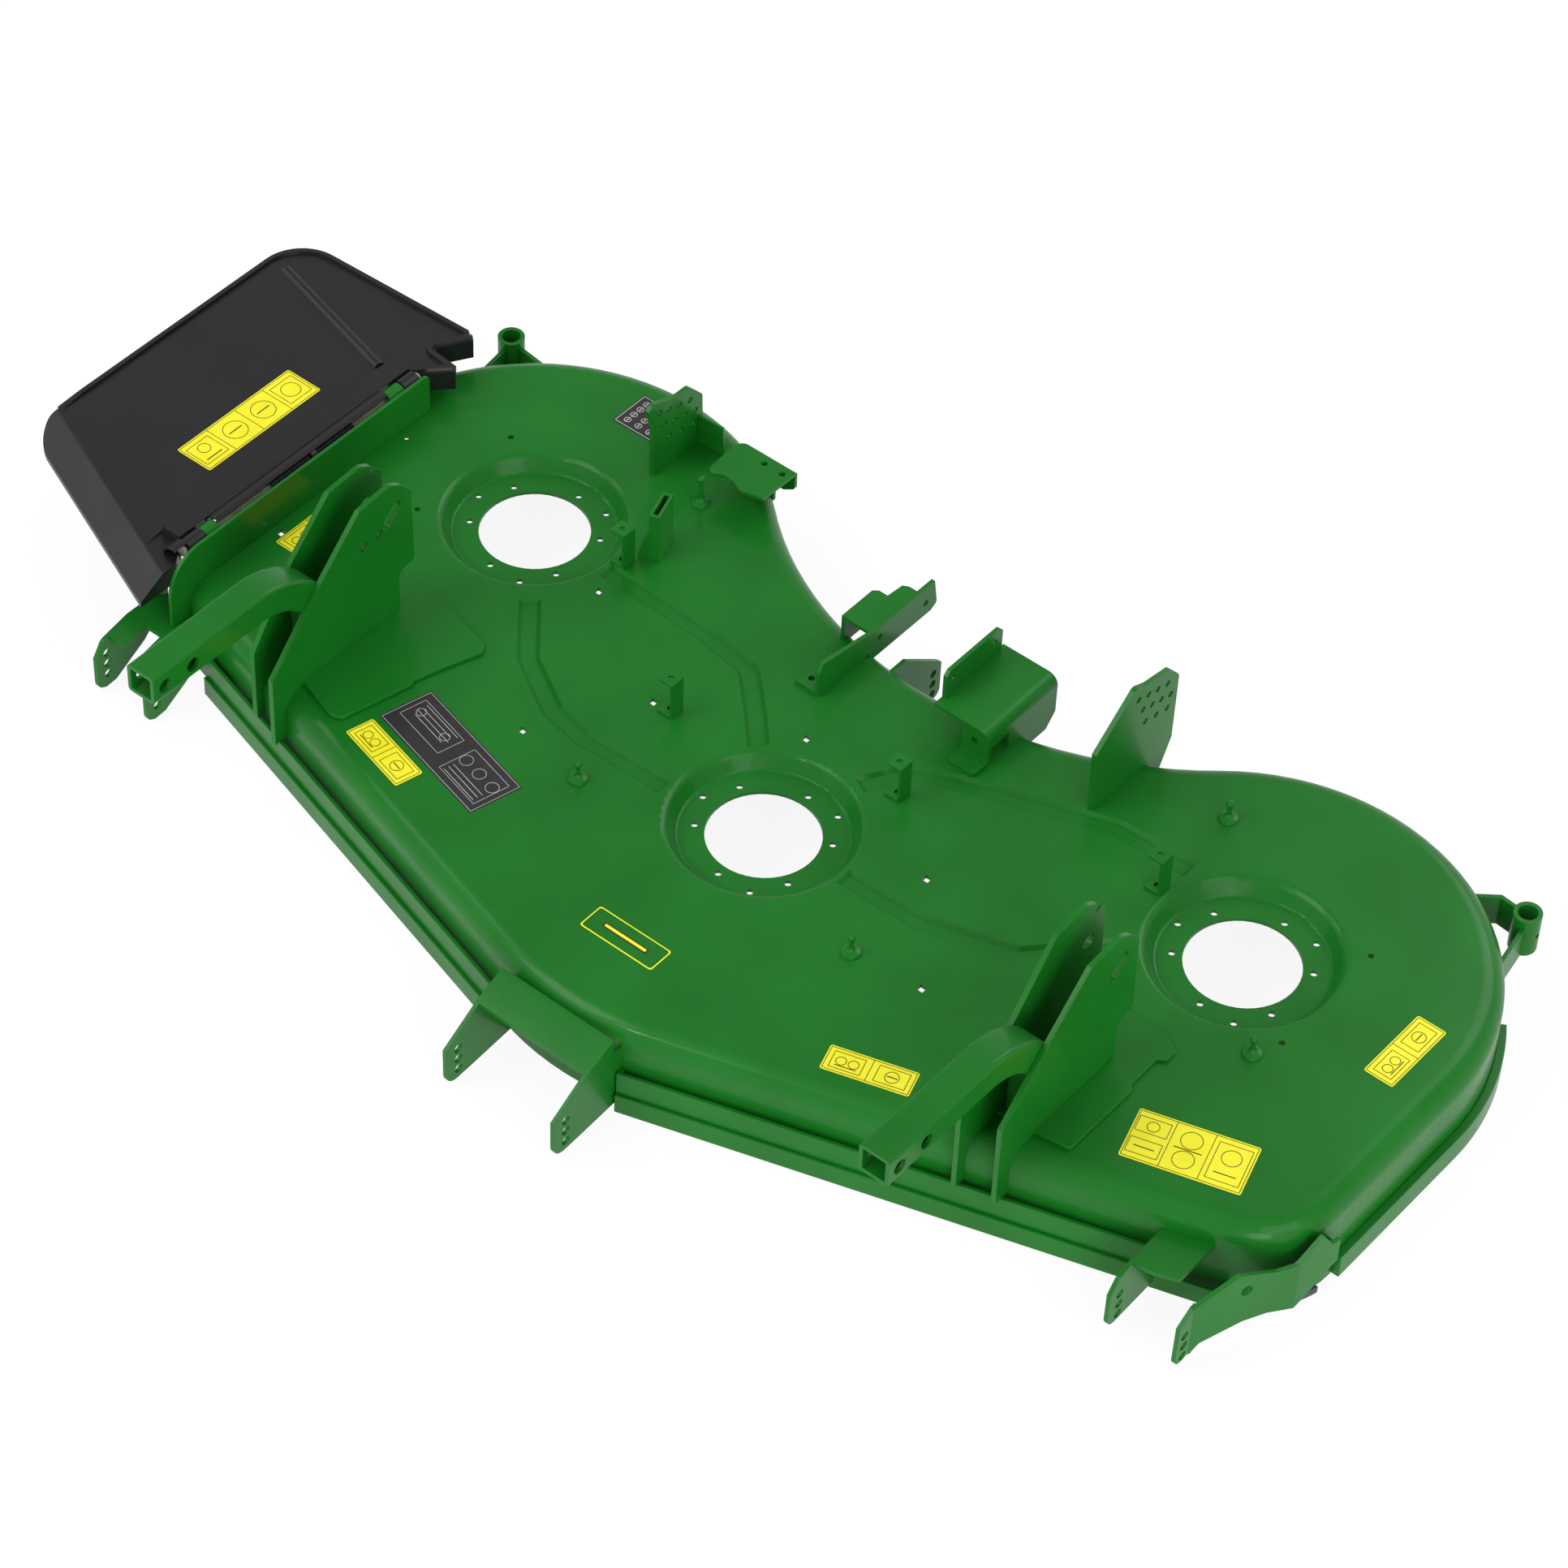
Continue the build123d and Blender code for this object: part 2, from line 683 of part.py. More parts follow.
with BuildPart() as right_arm_outer_plate:
    slots = [hand_slot] + vent_slots
    add(arm_cheek(right_arm_x + half_arm, right_front_wall - 24.4, 59.0, slots))
right_arm_outer_plate.part.label = "right_arm_outer_plate"
export_step(right_arm_outer_plate.part, "parts/right_arm_outer_plate.step")

with BuildPart() as right_arm_inner_plate:
    inner_x = right_arm_x - half_arm - arm_plate
    add(arm_cheek(inner_x, right_front_wall - 6.4, 59.0, lock_slots))
right_arm_inner_plate.part.label = "right_arm_inner_plate"
export_step(right_arm_inner_plate.part, "parts/right_arm_inner_plate.step")

# Front strips: upper and lower doublers in front of each straight wall


def front_strip(normal, distance, along, first, last, low_z, high_z):
    """A strip parallel to a front wall, turned back to the wall at both ends."""
    wall = Plane(origin=(0, 0, low_z), x_dir=(along[0], along[1], 0), z_dir=(0, 0, 1))
    reach = distance - nose_radius + 8
    outward = 1 if wall.y_dir.X * normal[0] + wall.y_dir.Y * normal[1] > 0 else -1
    with BuildPart() as strip:
        with BuildSketch(wall):
            middle = (first + last) / 2
            with Locations((middle, outward * (distance - strip_thickness / 2))):
                Rectangle(last - first, strip_thickness)
            for end in (first + strip_return / 2, last - strip_return / 2):
                with Locations((end, outward * (distance - reach / 2))):
                    Rectangle(strip_return, reach)
        extrude(amount=high_z - low_z)
        add(deck_block, mode=Mode.SUBTRACT)
    return strip.part


left_along = (-left_normal[1], left_normal[0])
right_along = (right_normal[1], -right_normal[0])

with BuildPart() as left_front_strip_upper:
    upper = (upper_strip_distance, left_along, -26, 562, strip_step_z, strip_top_z)
    add(front_strip(left_normal, *upper))
left_front_strip_upper.part.label = "left_front_strip_upper"
export_step(left_front_strip_upper.part, "parts/left_front_strip_upper.step")

with BuildPart() as left_front_strip_lower:
    lower = (lower_strip_distance, left_along, -26, 640, deck_rim, strip_step_z)
    add(front_strip(left_normal, *lower))
left_front_strip_lower.part.label = "left_front_strip_lower"
export_step(left_front_strip_lower.part, "parts/left_front_strip_lower.step")

with BuildPart() as right_front_strip_upper:
    upper = (upper_strip_distance, right_along, 6, 590, strip_step_z, strip_top_z)
    add(front_strip(right_normal, *upper))
right_front_strip_upper.part.label = "right_front_strip_upper"
export_step(right_front_strip_upper.part, "parts/right_front_strip_upper.step")

with BuildPart() as right_front_strip_lower:
    lower = (lower_strip_distance, right_along, 6, 590, deck_rim, strip_step_z)
    add(front_strip(right_normal, *lower))
right_front_strip_lower.part.label = "right_front_strip_lower"
export_step(right_front_strip_lower.part, "parts/right_front_strip_lower.step")

# Side band round the left lobe, and a skid under the left front corner

with BuildPart() as side_band:
    band_radius = lobe_radius + band_thickness
    rear_angle = radians(band_rear_angle)
    with BuildSketch(Plane.XY.offset(deck_rim)):
        with BuildLine():
            band_end = (spindle_x + band_radius, band_front_y)
            band_start = (
                spindle_x + band_radius * cos(rear_angle),
                spindle_y + band_radius * sin(rear_angle),
            )
            band_middle = (
                spindle_x + band_radius * cos(rear_angle / 2),
                spindle_y + band_radius * sin(rear_angle / 2),
            )
            inner_start = (
                spindle_x + (lobe_radius - 2) * cos(rear_angle),
                spindle_y + (lobe_radius - 2) * sin(rear_angle),
            )
            ThreePointArc(band_start, band_middle, (spindle_x + band_radius, spindle_y))
            Polyline(
                (spindle_x + band_radius, spindle_y),
                band_end,
                (spindle_x + lobe_radius - 20, band_front_y),
                (spindle_x + lobe_radius - 20, spindle_y),
                inner_start,
                band_start,
            )
        make_face()
    extrude(amount=band_top_z - deck_rim)
    add(deck_block, mode=Mode.SUBTRACT)
side_band.part.label = "side_band"
export_step(side_band.part, "parts/side_band.step")

with BuildPart() as wear_skid:
    with BuildSketch(Plane.XY.offset(deck_rim)) as skid_plan:
        add(outline(-skid_thickness))
        with BuildLine():
            skid_x = (shell_side_x - 44, shell_side_x + 90)
            skid_y = (left_corner_y - 43, left_corner_y + 50)
            Polyline((skid_x[0], skid_y[0]), (skid_x[1], skid_y[0]), skid_x[1:] + skid_y[1:])
            Polyline(skid_x[1:] + skid_y[1:], (skid_x[0], skid_y[1]), (skid_x[0], skid_y[0]))
        make_face(mode=Mode.INTERSECT)
    extrude(amount=skid_height)
    add(deck_block, mode=Mode.SUBTRACT)
    add(side_band.part, mode=Mode.SUBTRACT)
    add(left_front_strip_lower.part, mode=Mode.SUBTRACT)
wear_skid.part.label = "wear_skid"
export_step(wear_skid.part, "parts/wear_skid.step")

# Roller brackets

roller_hole_z = [roller_hole_top_z - roller_hole_pitch * step for step in range(roller_holes)]


def prong(x, points, hole_y, rounds=()):
    """A bracket side along the deck with its column of roller axle holes."""
    with BuildPart() as side:
        add(side_plate(x, points, bracket_sheet, rounds))
        centres = [(hole_y, z) for z in roller_hole_z]
        holes = pegs(Plane.YZ.offset(x), centres, roller_hole_radius, bracket_sheet)
        add(holes, mode=Mode.SUBTRACT)
    return side.part


centre_wall_y = -nose_radius
right_wall_y = wall_y(right_normal, nose_radius, (right_prong_x[0] + right_prong_x[1]) / 2)
left_wall_y = wall_y(left_normal, nose_radius, left_prong_x)
rear_wall_y = valley_y - valley_radius

with BuildPart() as front_centre_roller_bracket:
    centre_side = [(21, 19), (-9, 12), (-45, -4), (-97, -37), (-97, -92), (-59, -90), (21, -84)]
    centre_rounds = [((-97 + centre_wall_y, -92), 16)]
    for prong_x in centre_prong_x:
        side = moved(centre_side, centre_wall_y)
        add(prong(prong_x, side, centre_wall_y - centre_hole_reach, centre_rounds))
    width = centre_prong_x[1] - centre_prong_x[0] + bracket_sheet
    slope_top = [(21, 19), (-9, 12), (-45, -4), (-45, -10), (-9, 6), (21, 13)]
    add(side_plate(centre_prong_x[0], moved(slope_top, centre_wall_y), width))
    add(deck_block, mode=Mode.SUBTRACT)
    add(left_front_strip_upper.part, mode=Mode.SUBTRACT)
    add(left_front_strip_lower.part, mode=Mode.SUBTRACT)
    add(right_front_strip_upper.part, mode=Mode.SUBTRACT)
    add(right_front_strip_lower.part, mode=Mode.SUBTRACT)
front_centre_roller_bracket.part.label = "front_centre_roller_bracket"
export_step(front_centre_roller_bracket.part, "parts/front_centre_roller_bracket.step")

with BuildPart() as front_right_roller_bracket:
    right_side = [(-51.3, -17), (-93.3, -26), (-106.3, -46), (-106.3, -90), (-94, -96), (-78, -95)]
    right_side += [(-31, -68), (-20, -57), (16.7, -40), (16.7, -17)]
    right_rounds = [((-106.3, -90), 12), ((-93.3, -26), 10), ((-31, -68), 6)]
    for prong_x in right_prong_x:
        rounds = [((y + right_wall_y, z), radius) for (y, z), radius in right_rounds]
        side = moved(right_side, right_wall_y)
        add(prong(prong_x, side, right_wall_y - right_hole_reach, rounds))
    right_top = [(0, -50.3), (0, -9.3), (13, 3.7), (53, 3.7), (53, 20), (80.7, 20), (80.7, -50.3)]
    top_plan = [(x + right_prong_x[0], y + right_wall_y) for x, y in right_top]
    add(flat_plate(hinge_wall_low_z - bracket_sheet, top_plan, bracket_sheet))
    right_slope = [(-50.3, -17), (-84, -24.2), (-84, -30), (-50.3, -22.7)]
    for web_x, web_width in ((right_prong_x[0], 28), (right_prong_x[1] - 23, 28)):
        add(side_plate(web_x, moved(right_slope, right_wall_y), web_width))
    add(deck_block, mode=Mode.SUBTRACT)
    add(right_front_strip_upper.part, mode=Mode.SUBTRACT)
    add(right_front_strip_lower.part, mode=Mode.SUBTRACT)
front_right_roller_bracket.part.label = "front_right_roller_bracket"
export_step(front_right_roller_bracket.part, "parts/front_right_roller_bracket.step")

with BuildPart() as front_left_roller_bracket:
    inner_side = [(-38, -14), (-57, -14), (-77, -19), (-90, -36), (-91, -87), (-32, -84), (20, -80)]
    inner_side += [(20, -14)]
    side = moved(inner_side, left_wall_y)
    rounds = [((-91 + left_wall_y, -87), 12), ((-77 + left_wall_y, -19), 8)]
    add(prong(left_prong_x, side, left_wall_y - left_hole_reach, rounds))
    shelf = [(640, -56), (668, -52), (708, -36), (714, -10), (700, 30), (640, 15)]
    add(flat_plate(-19, [(x, y + left_wall_y) for x, y in shelf], bracket_sheet))
    add(deck_block, mode=Mode.SUBTRACT)
    add(left_front_strip_upper.part, mode=Mode.SUBTRACT)
    add(left_front_strip_lower.part, mode=Mode.SUBTRACT)
front_left_roller_bracket.part.label = "front_left_roller_bracket"
export_step(front_left_roller_bracket.part, "parts/front_left_roller_bracket.step")

with BuildPart() as front_left_corner_guard:
    guard_side = [(-63, -14), (-84, -28), (-86, -88), (-60, -84), (-56, -14)]
    guard_rounds = [((-86 + left_wall_y, -88), 10)]
    side = moved(guard_side, left_wall_y)
    add(prong(guard_prong_x, side, left_wall_y - left_hole_reach, guard_rounds))
    guard_start = (guard_prong_x + bracket_sheet / 2, left_wall_y - 63)
    guard_bend = (shell_side_x + 0.7, left_wall_y + 53)
    guard_end = (shell_side_x + 11.7, left_wall_y + 106)
    add(bent_strip([guard_start, guard_bend, guard_end], bracket_sheet, -86, 12))
    lip = [(guard_end[0], guard_end[1] - 2), (guard_end[0] - 14, guard_end[1])]
    add(bent_strip(lip, bracket_sheet, -60, -24))
    over = [(-66, -14), (-62, -14), (-14, 9), (29, -10), (50, -13), (81, 10), (95, -13), (120, -13)]
    over += [(120, 60), (-66, 60)]
    under = [(-60, -84), (-52, -75), (-6, -68), (21, -71), (51, -82), (63, -75), (97, -50)]
    under += [(120, -40), (120, -100), (-60, -100)]
    for clear in (over, under):
        add(side_plate(690, moved(clear, left_wall_y), 120), mode=Mode.SUBTRACT)
    hole_place = (749, left_wall_y - 5, -19)
    with BuildSketch(Plane(hole_place, x_dir=(0.39, 1, 0), z_dir=(-1, 0.39, 0))):
        Circle(7)
    extrude(amount=20, both=True, mode=Mode.SUBTRACT)
    add(deck_block, mode=Mode.SUBTRACT)
    add(front_left_roller_bracket.part, mode=Mode.SUBTRACT)
    add(side_band.part, mode=Mode.SUBTRACT)
front_left_corner_guard.part.label = "front_left_corner_guard"
export_step(front_left_corner_guard.part, "parts/front_left_corner_guard.step")

with BuildPart() as rear_roller_plates:
    rear_side = [(-22, 13), (18, 13), (77, -31), (84, -37), (84, -90), (53, -86), (-22, -82)]
    rear_rounds = [((84 + rear_wall_y, -90), 12), ((77 + rear_wall_y, -31), 6)]
    for prong_x in rear_prong_x:
        side = moved(rear_side, rear_wall_y)
        add(prong(prong_x, side, rear_wall_y + rear_hole_reach, rear_rounds))
    add(deck_block, mode=Mode.SUBTRACT)
rear_roller_plates.part.label = "rear_roller_plates"
export_step(rear_roller_plates.part, "parts/rear_roller_plates.step")

# Rear gauge wheel tubes and their brackets


def wheel_tube(place):
    with BuildPart() as tube:
        with BuildSketch(Plane.XY.offset(-wheel_tube_length)):
            with Locations(place):
                Circle(wheel_tube_outer)
                Circle(wheel_tube_bore, mode=Mode.SUBTRACT)
        extrude(amount=wheel_tube_length)
        with BuildSketch(Plane.YZ.offset(place[0])):
            with Locations((place[1], -wheel_tube_length / 2)):
                Circle(3.2)
        extrude(amount=wheel_tube_outer, mode=Mode.SUBTRACT)
    return tube.part


def wheel_bracket(place, routes):
    with BuildPart() as bracket:
        for route in routes:
            add(bent_strip(route, bracket_sheet, -wheel_tube_length, wheel_bracket_top_z))
        add(deck_block, mode=Mode.SUBTRACT)
        with BuildSketch(Plane.XY.offset(-wheel_tube_length)):
            with Locations(place):
                Circle(wheel_tube_outer)
        extrude(amount=wheel_tube_length, mode=Mode.SUBTRACT)
    return bracket.part


def from_lobe(side, reach, angle):
    """Plan point at a reach beyond the wall of a lobe; side is 1 for left, -1 for right."""
    radius = lobe_radius + reach
    return (side * spindle_x + radius * cos(radians(angle)), spindle_y + radius * sin(radians(angle)))


left_wheel_tube = from_lobe(1, left_wheel_reach, left_wheel_angle)
right_wheel_tube = from_lobe(-1, right_wheel_reach, right_wheel_angle)
left_wheel_routes = [
    [from_lobe(1, -9.1, 64.9), from_lobe(1, 30.2, 61.26), from_lobe(1, 45.3, 55.64)],
    [from_lobe(1, -5.4, 40.6), from_lobe(1, -1.0, 43.18), from_lobe(1, 42.4, 53.55)],
]
right_wheel_routes = [
    [from_lobe(-1, -11.2, 147.57), from_lobe(-1, 1.8, 145.82), from_lobe(-1, 50.3, 137.04)],
    [from_lobe(-1, -12.7, 127.59), from_lobe(-1, 2.2, 127.43), from_lobe(-1, 51.2, 135.52)],
]

with BuildPart() as rear_left_wheel_tube:
    add(wheel_tube(left_wheel_tube))
rear_left_wheel_tube.part.label = "rear_left_wheel_tube"
export_step(rear_left_wheel_tube.part, "parts/rear_left_wheel_tube.step")

with BuildPart() as rear_left_wheel_bracket:
    add(wheel_bracket(left_wheel_tube, left_wheel_routes))
rear_left_wheel_bracket.part.label = "rear_left_wheel_bracket"
export_step(rear_left_wheel_bracket.part, "parts/rear_left_wheel_bracket.step")

with BuildPart() as rear_right_wheel_tube:
    add(wheel_tube(right_wheel_tube))
rear_right_wheel_tube.part.label = "rear_right_wheel_tube"
export_step(rear_right_wheel_tube.part, "parts/rear_right_wheel_tube.step")

with BuildPart() as rear_right_wheel_bracket:
    add(wheel_bracket(right_wheel_tube, right_wheel_routes))
rear_right_wheel_bracket.part.label = "rear_right_wheel_bracket"
export_step(rear_right_wheel_bracket.part, "parts/rear_right_wheel_bracket.step")

# Rear hanger plates with rows of height holes


def hanger(x, points, holes, rounds):
    with BuildPart() as hook:
        add(side_plate(x, points, hanger_sheet, rounds))
        rows = pegs(Plane.YZ.offset(x), holes, hanger_hole_radius, hanger_sheet)
        add(rows, mode=Mode.SUBTRACT)
        add(deck_block, mode=Mode.SUBTRACT)
    return hook.part


with BuildPart() as left_hanger_plate:
    left_hanger = [(244, 10), (242, 105), (306, 158), (326, 149), (368, 141), (387, 120), (386, 25)]
    left_hanger += [(369, -10), (330, -10)]
    left_rows = [(313, 136), (331, 131), (348, 126), (366, 121), (323, 114), (340, 109), (357, 104)]
    left_rows += [(374, 99), (330, 91), (350, 86), (370, 81)]
    add(hanger(left_hanger_x, left_hanger, left_rows, [((306, 158), 8), ((387, 120), 12), ((386, 25), 10)]))
left_hanger_plate.part.label = "left_hanger_plate"
export_step(left_hanger_plate.part, "parts/left_hanger_plate.step")

with BuildPart() as right_hanger_plate:
    right_hanger = [(331, 10), (329, 93), (321, 122), (329, 129), (367, 114), (392, 113), (415, 88)]
    right_hanger += [(416, 61), (424, 10)]
    right_rows = [(340, 109), (357, 103), (375, 98), (393, 93), (349, 86), (366, 80), (385, 75)]
    right_rows += [(403, 71), (358, 62), (378, 56), (400, 52)]
    add(hanger(right_hanger_x, right_hanger, right_rows, [((329, 129), 5), ((392, 113), 8), ((415, 88), 8)]))
right_hanger_plate.part.label = "right_hanger_plate"
export_step(right_hanger_plate.part, "parts/right_hanger_plate.step")

with BuildPart() as hanger_gusset:
    gusset_y = 411.0
    gusset = [(right_hanger_x + hanger_sheet, 10), (right_hanger_x + hanger_sheet, 60)]
    gusset += [(-403, 62), (-401, 10)]
    add(plate(Plane.XZ.offset(-gusset_y), gusset, light_sheet))
    add(deck_block, mode=Mode.SUBTRACT)
hanger_gusset.part.label = "hanger_gusset"
export_step(hanger_gusset.part, "parts/hanger_gusset.step")

# Channel bracket at the rear, right of the middle

with BuildPart() as channel_bracket:
    channel_top = [(-377, 397), (-373, 405), (-365, 410), (-295, 410), (-296, 351), (-323, 344)]
    channel_top += [(-339, 350), (-353, 352), (-367, 344), (-374, 350)]
    add(flat_plate(56, channel_top, light_sheet))
    rear_leg = [(-365, 0), (-365, 60), (-295, 60), (-295, 36), (-311, 26), (-325, 26), (-325, 0)]
    add(plate(Plane.XZ.offset(-410), rear_leg, light_sheet, [((-295, 36), 6)]))
    rear_edges = [e for e in channel_bracket.edges() if e.center().Y > 409.5 and e.center().Z > 59.5]
    fillet([e for e in rear_edges if e.length > 50], 3.5)
    with BuildSketch(Plane.XY.offset(50)):
        with Locations((-332, 396), (-306, 396)):
            Circle(4)
    extrude(amount=20, mode=Mode.SUBTRACT)
    add(deck_block, mode=Mode.SUBTRACT)
channel_bracket.part.label = "channel_bracket"
export_step(channel_bracket.part, "parts/channel_bracket.step")

# Slotted tab beside the right spindle

slot_lean = 108.0


def tab_block(base_width, base_length, top_width, top_length):
    """A tapered block on the deck whose top is turned with the slot."""
    with BuildPart() as body:
        with BuildSketch(Plane.XY.offset(deck_top)):
            with Locations((-361, 242)):
                Rectangle(base_length, base_width, rotation=slot_lean)
        with BuildSketch(Plane.XY.offset(64)):
            with Locations((-356, 245)):
                Rectangle(top_length, top_width, rotation=slot_lean)
        loft()
        top = body.faces().sort_by(Axis.Z)[-1]
        extrude(top, amount=24)
    return body.part


with BuildPart() as slotted_tab:
    add(tab_block(28, 40, 13, 42))
    add(tab_block(20, 32, 5.5, 34), mode=Mode.SUBTRACT)
slotted_tab.part.label = "slotted_tab"
export_step(slotted_tab.part, "parts/slotted_tab.step")

# Long angle bracket over the rear valley

with BuildPart() as angle_bracket:
    long_web = [(182, deck_top), (182, 54), (189, 66), (276, 50), (384, 50), (390, 14), (380, 8)]
    long_web += [(270, 8), (270, deck_top)]
    add(side_plate(-80, long_web, bracket_sheet, [((182, 54), 4), ((390, 14), 5)]))
    long_top = [(-118, 273), (-118, 326), (-112, 331), (-100, 331), (-98, 354), (-91, 358), (-80, 358)]
    long_top += [(-78, 380), (-75, 380), (-75, 273)]
    add(flat_plate(50 - bracket_sheet, long_top, bracket_sheet))
    short_web = [(273, 10), (273, 50), (326, 50), (326, 30), (300, 10)]
    add(side_plate(-118, short_web, bracket_sheet))
    add(flat_plate(deck_top, [(-108, 182), (-75, 182), (-75, 214), (-108, 206)], bracket_sheet))
    with BuildSketch(Plane.XY.offset(deck_top)):
        with Locations((-96, 196)):
            Circle(4)
    extrude(amount=bracket_sheet, mode=Mode.SUBTRACT)
    bolt_holes = pegs(Plane.YZ.offset(-80), [(369, 26), (288, 34)], 4, bracket_sheet)
    add(bolt_holes, mode=Mode.SUBTRACT)
    add(deck_block, mode=Mode.SUBTRACT)
angle_bracket.part.label = "angle_bracket"
export_step(angle_bracket.part, "parts/angle_bracket.step")

# Box bracket over the rear valley

box_right_x = 128.0

with BuildPart() as box_bracket:
    fold_x = box_right_x - bracket_sheet / 2
    fold_z = 66 - bracket_sheet / 2
    for rear_y, length, low_z in ((343, 85, -4), (258, 36, 44)):
        with BuildSketch(Plane.XZ.offset(-rear_y)):
            with BuildLine():
                FilletPolyline((52, fold_z), (fold_x, fold_z), (fold_x, low_z), radius=11)
            trace(line_width=bracket_sheet)
        extrude(amount=length)
    upright = [(235, 61), (235, 98), (241, 104), (327, 104), (333, 98), (333, 61)]
    add(side_plate(52, upright, bracket_sheet, [((241, 104), 5), ((327, 104), 5)]))
    add(side_plate(box_right_x - 12, [(344, 14), (344, -10), (322, -10)], 20), mode=Mode.SUBTRACT)
    front_leg = [(91, deck_top), (91, 64), (114, 64), (box_right_x, 50), (box_right_x, deck_top)]
    add(plate(Plane.XZ.offset(-222 - bracket_sheet), front_leg, bracket_sheet))
    foot = [(91, 198), (box_right_x, 198), (box_right_x, 227), (91, 227)]
    add(flat_plate(deck_top, foot, bracket_sheet, [((91, 198), 5), ((box_right_x, 198), 5)]))
    add(pegs(Plane.YZ.offset(52), [(319, 88), (247, 88)], 4, bracket_sheet), mode=Mode.SUBTRACT)
    add(pegs(Plane.XZ.offset(-230), [(109, 46)], 5, 10), mode=Mode.SUBTRACT)
    add(deck_block, mode=Mode.SUBTRACT)
box_bracket.part.label = "box_bracket"
export_step(box_bracket.part, "parts/box_bracket.step")

# Four folded clips that carry the belt covers

with BuildPart() as belt_cover_clips:
    for clip_x, clip_y in clip_places:
        web_x = clip_x + clip_width / 2
        low_y = clip_y - clip_width / 2
        high_y = clip_y + clip_width / 2
        clip_top = deck_top + clip_height + clip_sheet
        web = [(low_y, deck_top), (low_y, clip_top), (high_y, clip_top), (high_y, deck_top)]
        add(side_plate(web_x - clip_sheet, web, clip_sheet))
        for tab_z in (deck_top, clip_top - clip_sheet):
            with BuildSketch(Plane.XY.offset(tab_z)) as tab:
                with Locations((clip_x, clip_y)):
                    Rectangle(clip_width, clip_width)
                    Circle(clip_hole_radius, mode=Mode.SUBTRACT)
            extrude(amount=clip_sheet)
belt_cover_clips.part.label = "belt_cover_clips"
export_step(belt_cover_clips.part, "parts/belt_cover_clips.step")

# Studs for the belt covers: a flat round base, a slender pin and a ball tip


def stud(height):
    ball_z = height - stud_ball_radius
    neck_z = ball_z - sqrt(stud_ball_radius**2 - stud_neck_radius**2)
    with BuildPart() as post:
        with BuildSketch(Plane.XZ):
            with BuildLine():
                Polyline((0, 0), (11.5, 0), (10.5, 3), (5, 5), (stud_neck_radius, 9))
                Line((stud_neck_radius, 9), (stud_neck_radius, neck_z))
                ball_side = (stud_ball_radius, ball_z)
                ThreePointArc((stud_neck_radius, neck_z), ball_side, (0, height))
                Line((0, height), (0, 0))
            make_face()
        revolve(axis=Axis.Z)
    return post.part


with BuildPart() as cover_studs:
    for stud_x, stud_y, stud_height in stud_places:
        with Locations((stud_x, stud_y, deck_top)):
            add(stud(stud_height))
cover_studs.part.label = "cover_studs"
export_step(cover_studs.part, "parts/cover_studs.step")

# Front baffle under the deck: three arcs just outside the blade tips

with BuildPart() as front_baffle:
    with BuildSketch(Plane.XY.offset(baffle_rim_z)) as baffle_plan:
        with Locations(*spindles):
            Circle(baffle_inner_radius + baffle_sheet)
        with Locations(*spindles):
            Circle(baffle_inner_radius, mode=Mode.SUBTRACT)
        with BuildSketch(mode=Mode.INTERSECT):
            for middle_x, width in ((-520, 240), (0, 450), (525, 350)):
                with Locations((middle_x, -145)):
                    Rectangle(width, 350)
    extrude(amount=deck_top - sheet - baffle_rim_z)
    add(cavity.part, mode=Mode.INTERSECT)
front_baffle.part.label = "front_baffle"
export_step(front_baffle.part, "parts/front_baffle.step")

# Weld nuts under the four outer round holes of the top

with BuildPart() as weld_nuts:
    with BuildSketch(Plane.XY.offset(deck_top - sheet - weld_nut_height)):
        with Locations(*round_holes[:4]):
            RegularPolygon(weld_nut_width / 2, 6, major_radius=False)
            Circle(round_hole_radius, mode=Mode.SUBTRACT)
    extrude(amount=weld_nut_height)
weld_nuts.part.label = "weld_nuts"
export_step(weld_nuts.part, "parts/weld_nuts.step")
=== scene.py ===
import json
from math import cos, pi, radians, sin

import bmesh
import bpy
from mathutils import Matrix, Quaternion, Vector


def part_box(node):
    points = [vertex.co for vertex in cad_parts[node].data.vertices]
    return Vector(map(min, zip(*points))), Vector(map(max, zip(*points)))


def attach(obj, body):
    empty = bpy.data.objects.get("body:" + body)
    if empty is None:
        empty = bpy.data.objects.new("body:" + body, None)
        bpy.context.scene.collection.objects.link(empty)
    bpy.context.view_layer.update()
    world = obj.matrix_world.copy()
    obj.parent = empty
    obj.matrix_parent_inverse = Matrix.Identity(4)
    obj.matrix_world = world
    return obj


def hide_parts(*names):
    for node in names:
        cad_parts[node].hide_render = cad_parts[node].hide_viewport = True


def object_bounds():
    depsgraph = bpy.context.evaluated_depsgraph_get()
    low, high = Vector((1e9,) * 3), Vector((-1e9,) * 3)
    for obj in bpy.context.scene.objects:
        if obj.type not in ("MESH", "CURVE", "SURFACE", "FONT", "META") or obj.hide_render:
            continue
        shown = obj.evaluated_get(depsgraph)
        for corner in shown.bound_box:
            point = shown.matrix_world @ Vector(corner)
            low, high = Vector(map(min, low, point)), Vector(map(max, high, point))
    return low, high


# Riding mower deck in green paint with a black side chute.
# Metres, the deck's own frame: X to the machine's left, Y to the rear, Z up.

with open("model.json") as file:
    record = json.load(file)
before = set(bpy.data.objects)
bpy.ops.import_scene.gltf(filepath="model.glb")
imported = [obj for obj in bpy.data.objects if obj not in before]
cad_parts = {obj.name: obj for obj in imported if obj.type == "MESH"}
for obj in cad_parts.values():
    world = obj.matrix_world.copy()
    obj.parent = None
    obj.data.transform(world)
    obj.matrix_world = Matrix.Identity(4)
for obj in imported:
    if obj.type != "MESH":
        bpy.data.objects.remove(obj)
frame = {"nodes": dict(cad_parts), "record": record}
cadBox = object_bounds()
nodes = frame["nodes"]
mm = 0.001

# Camera

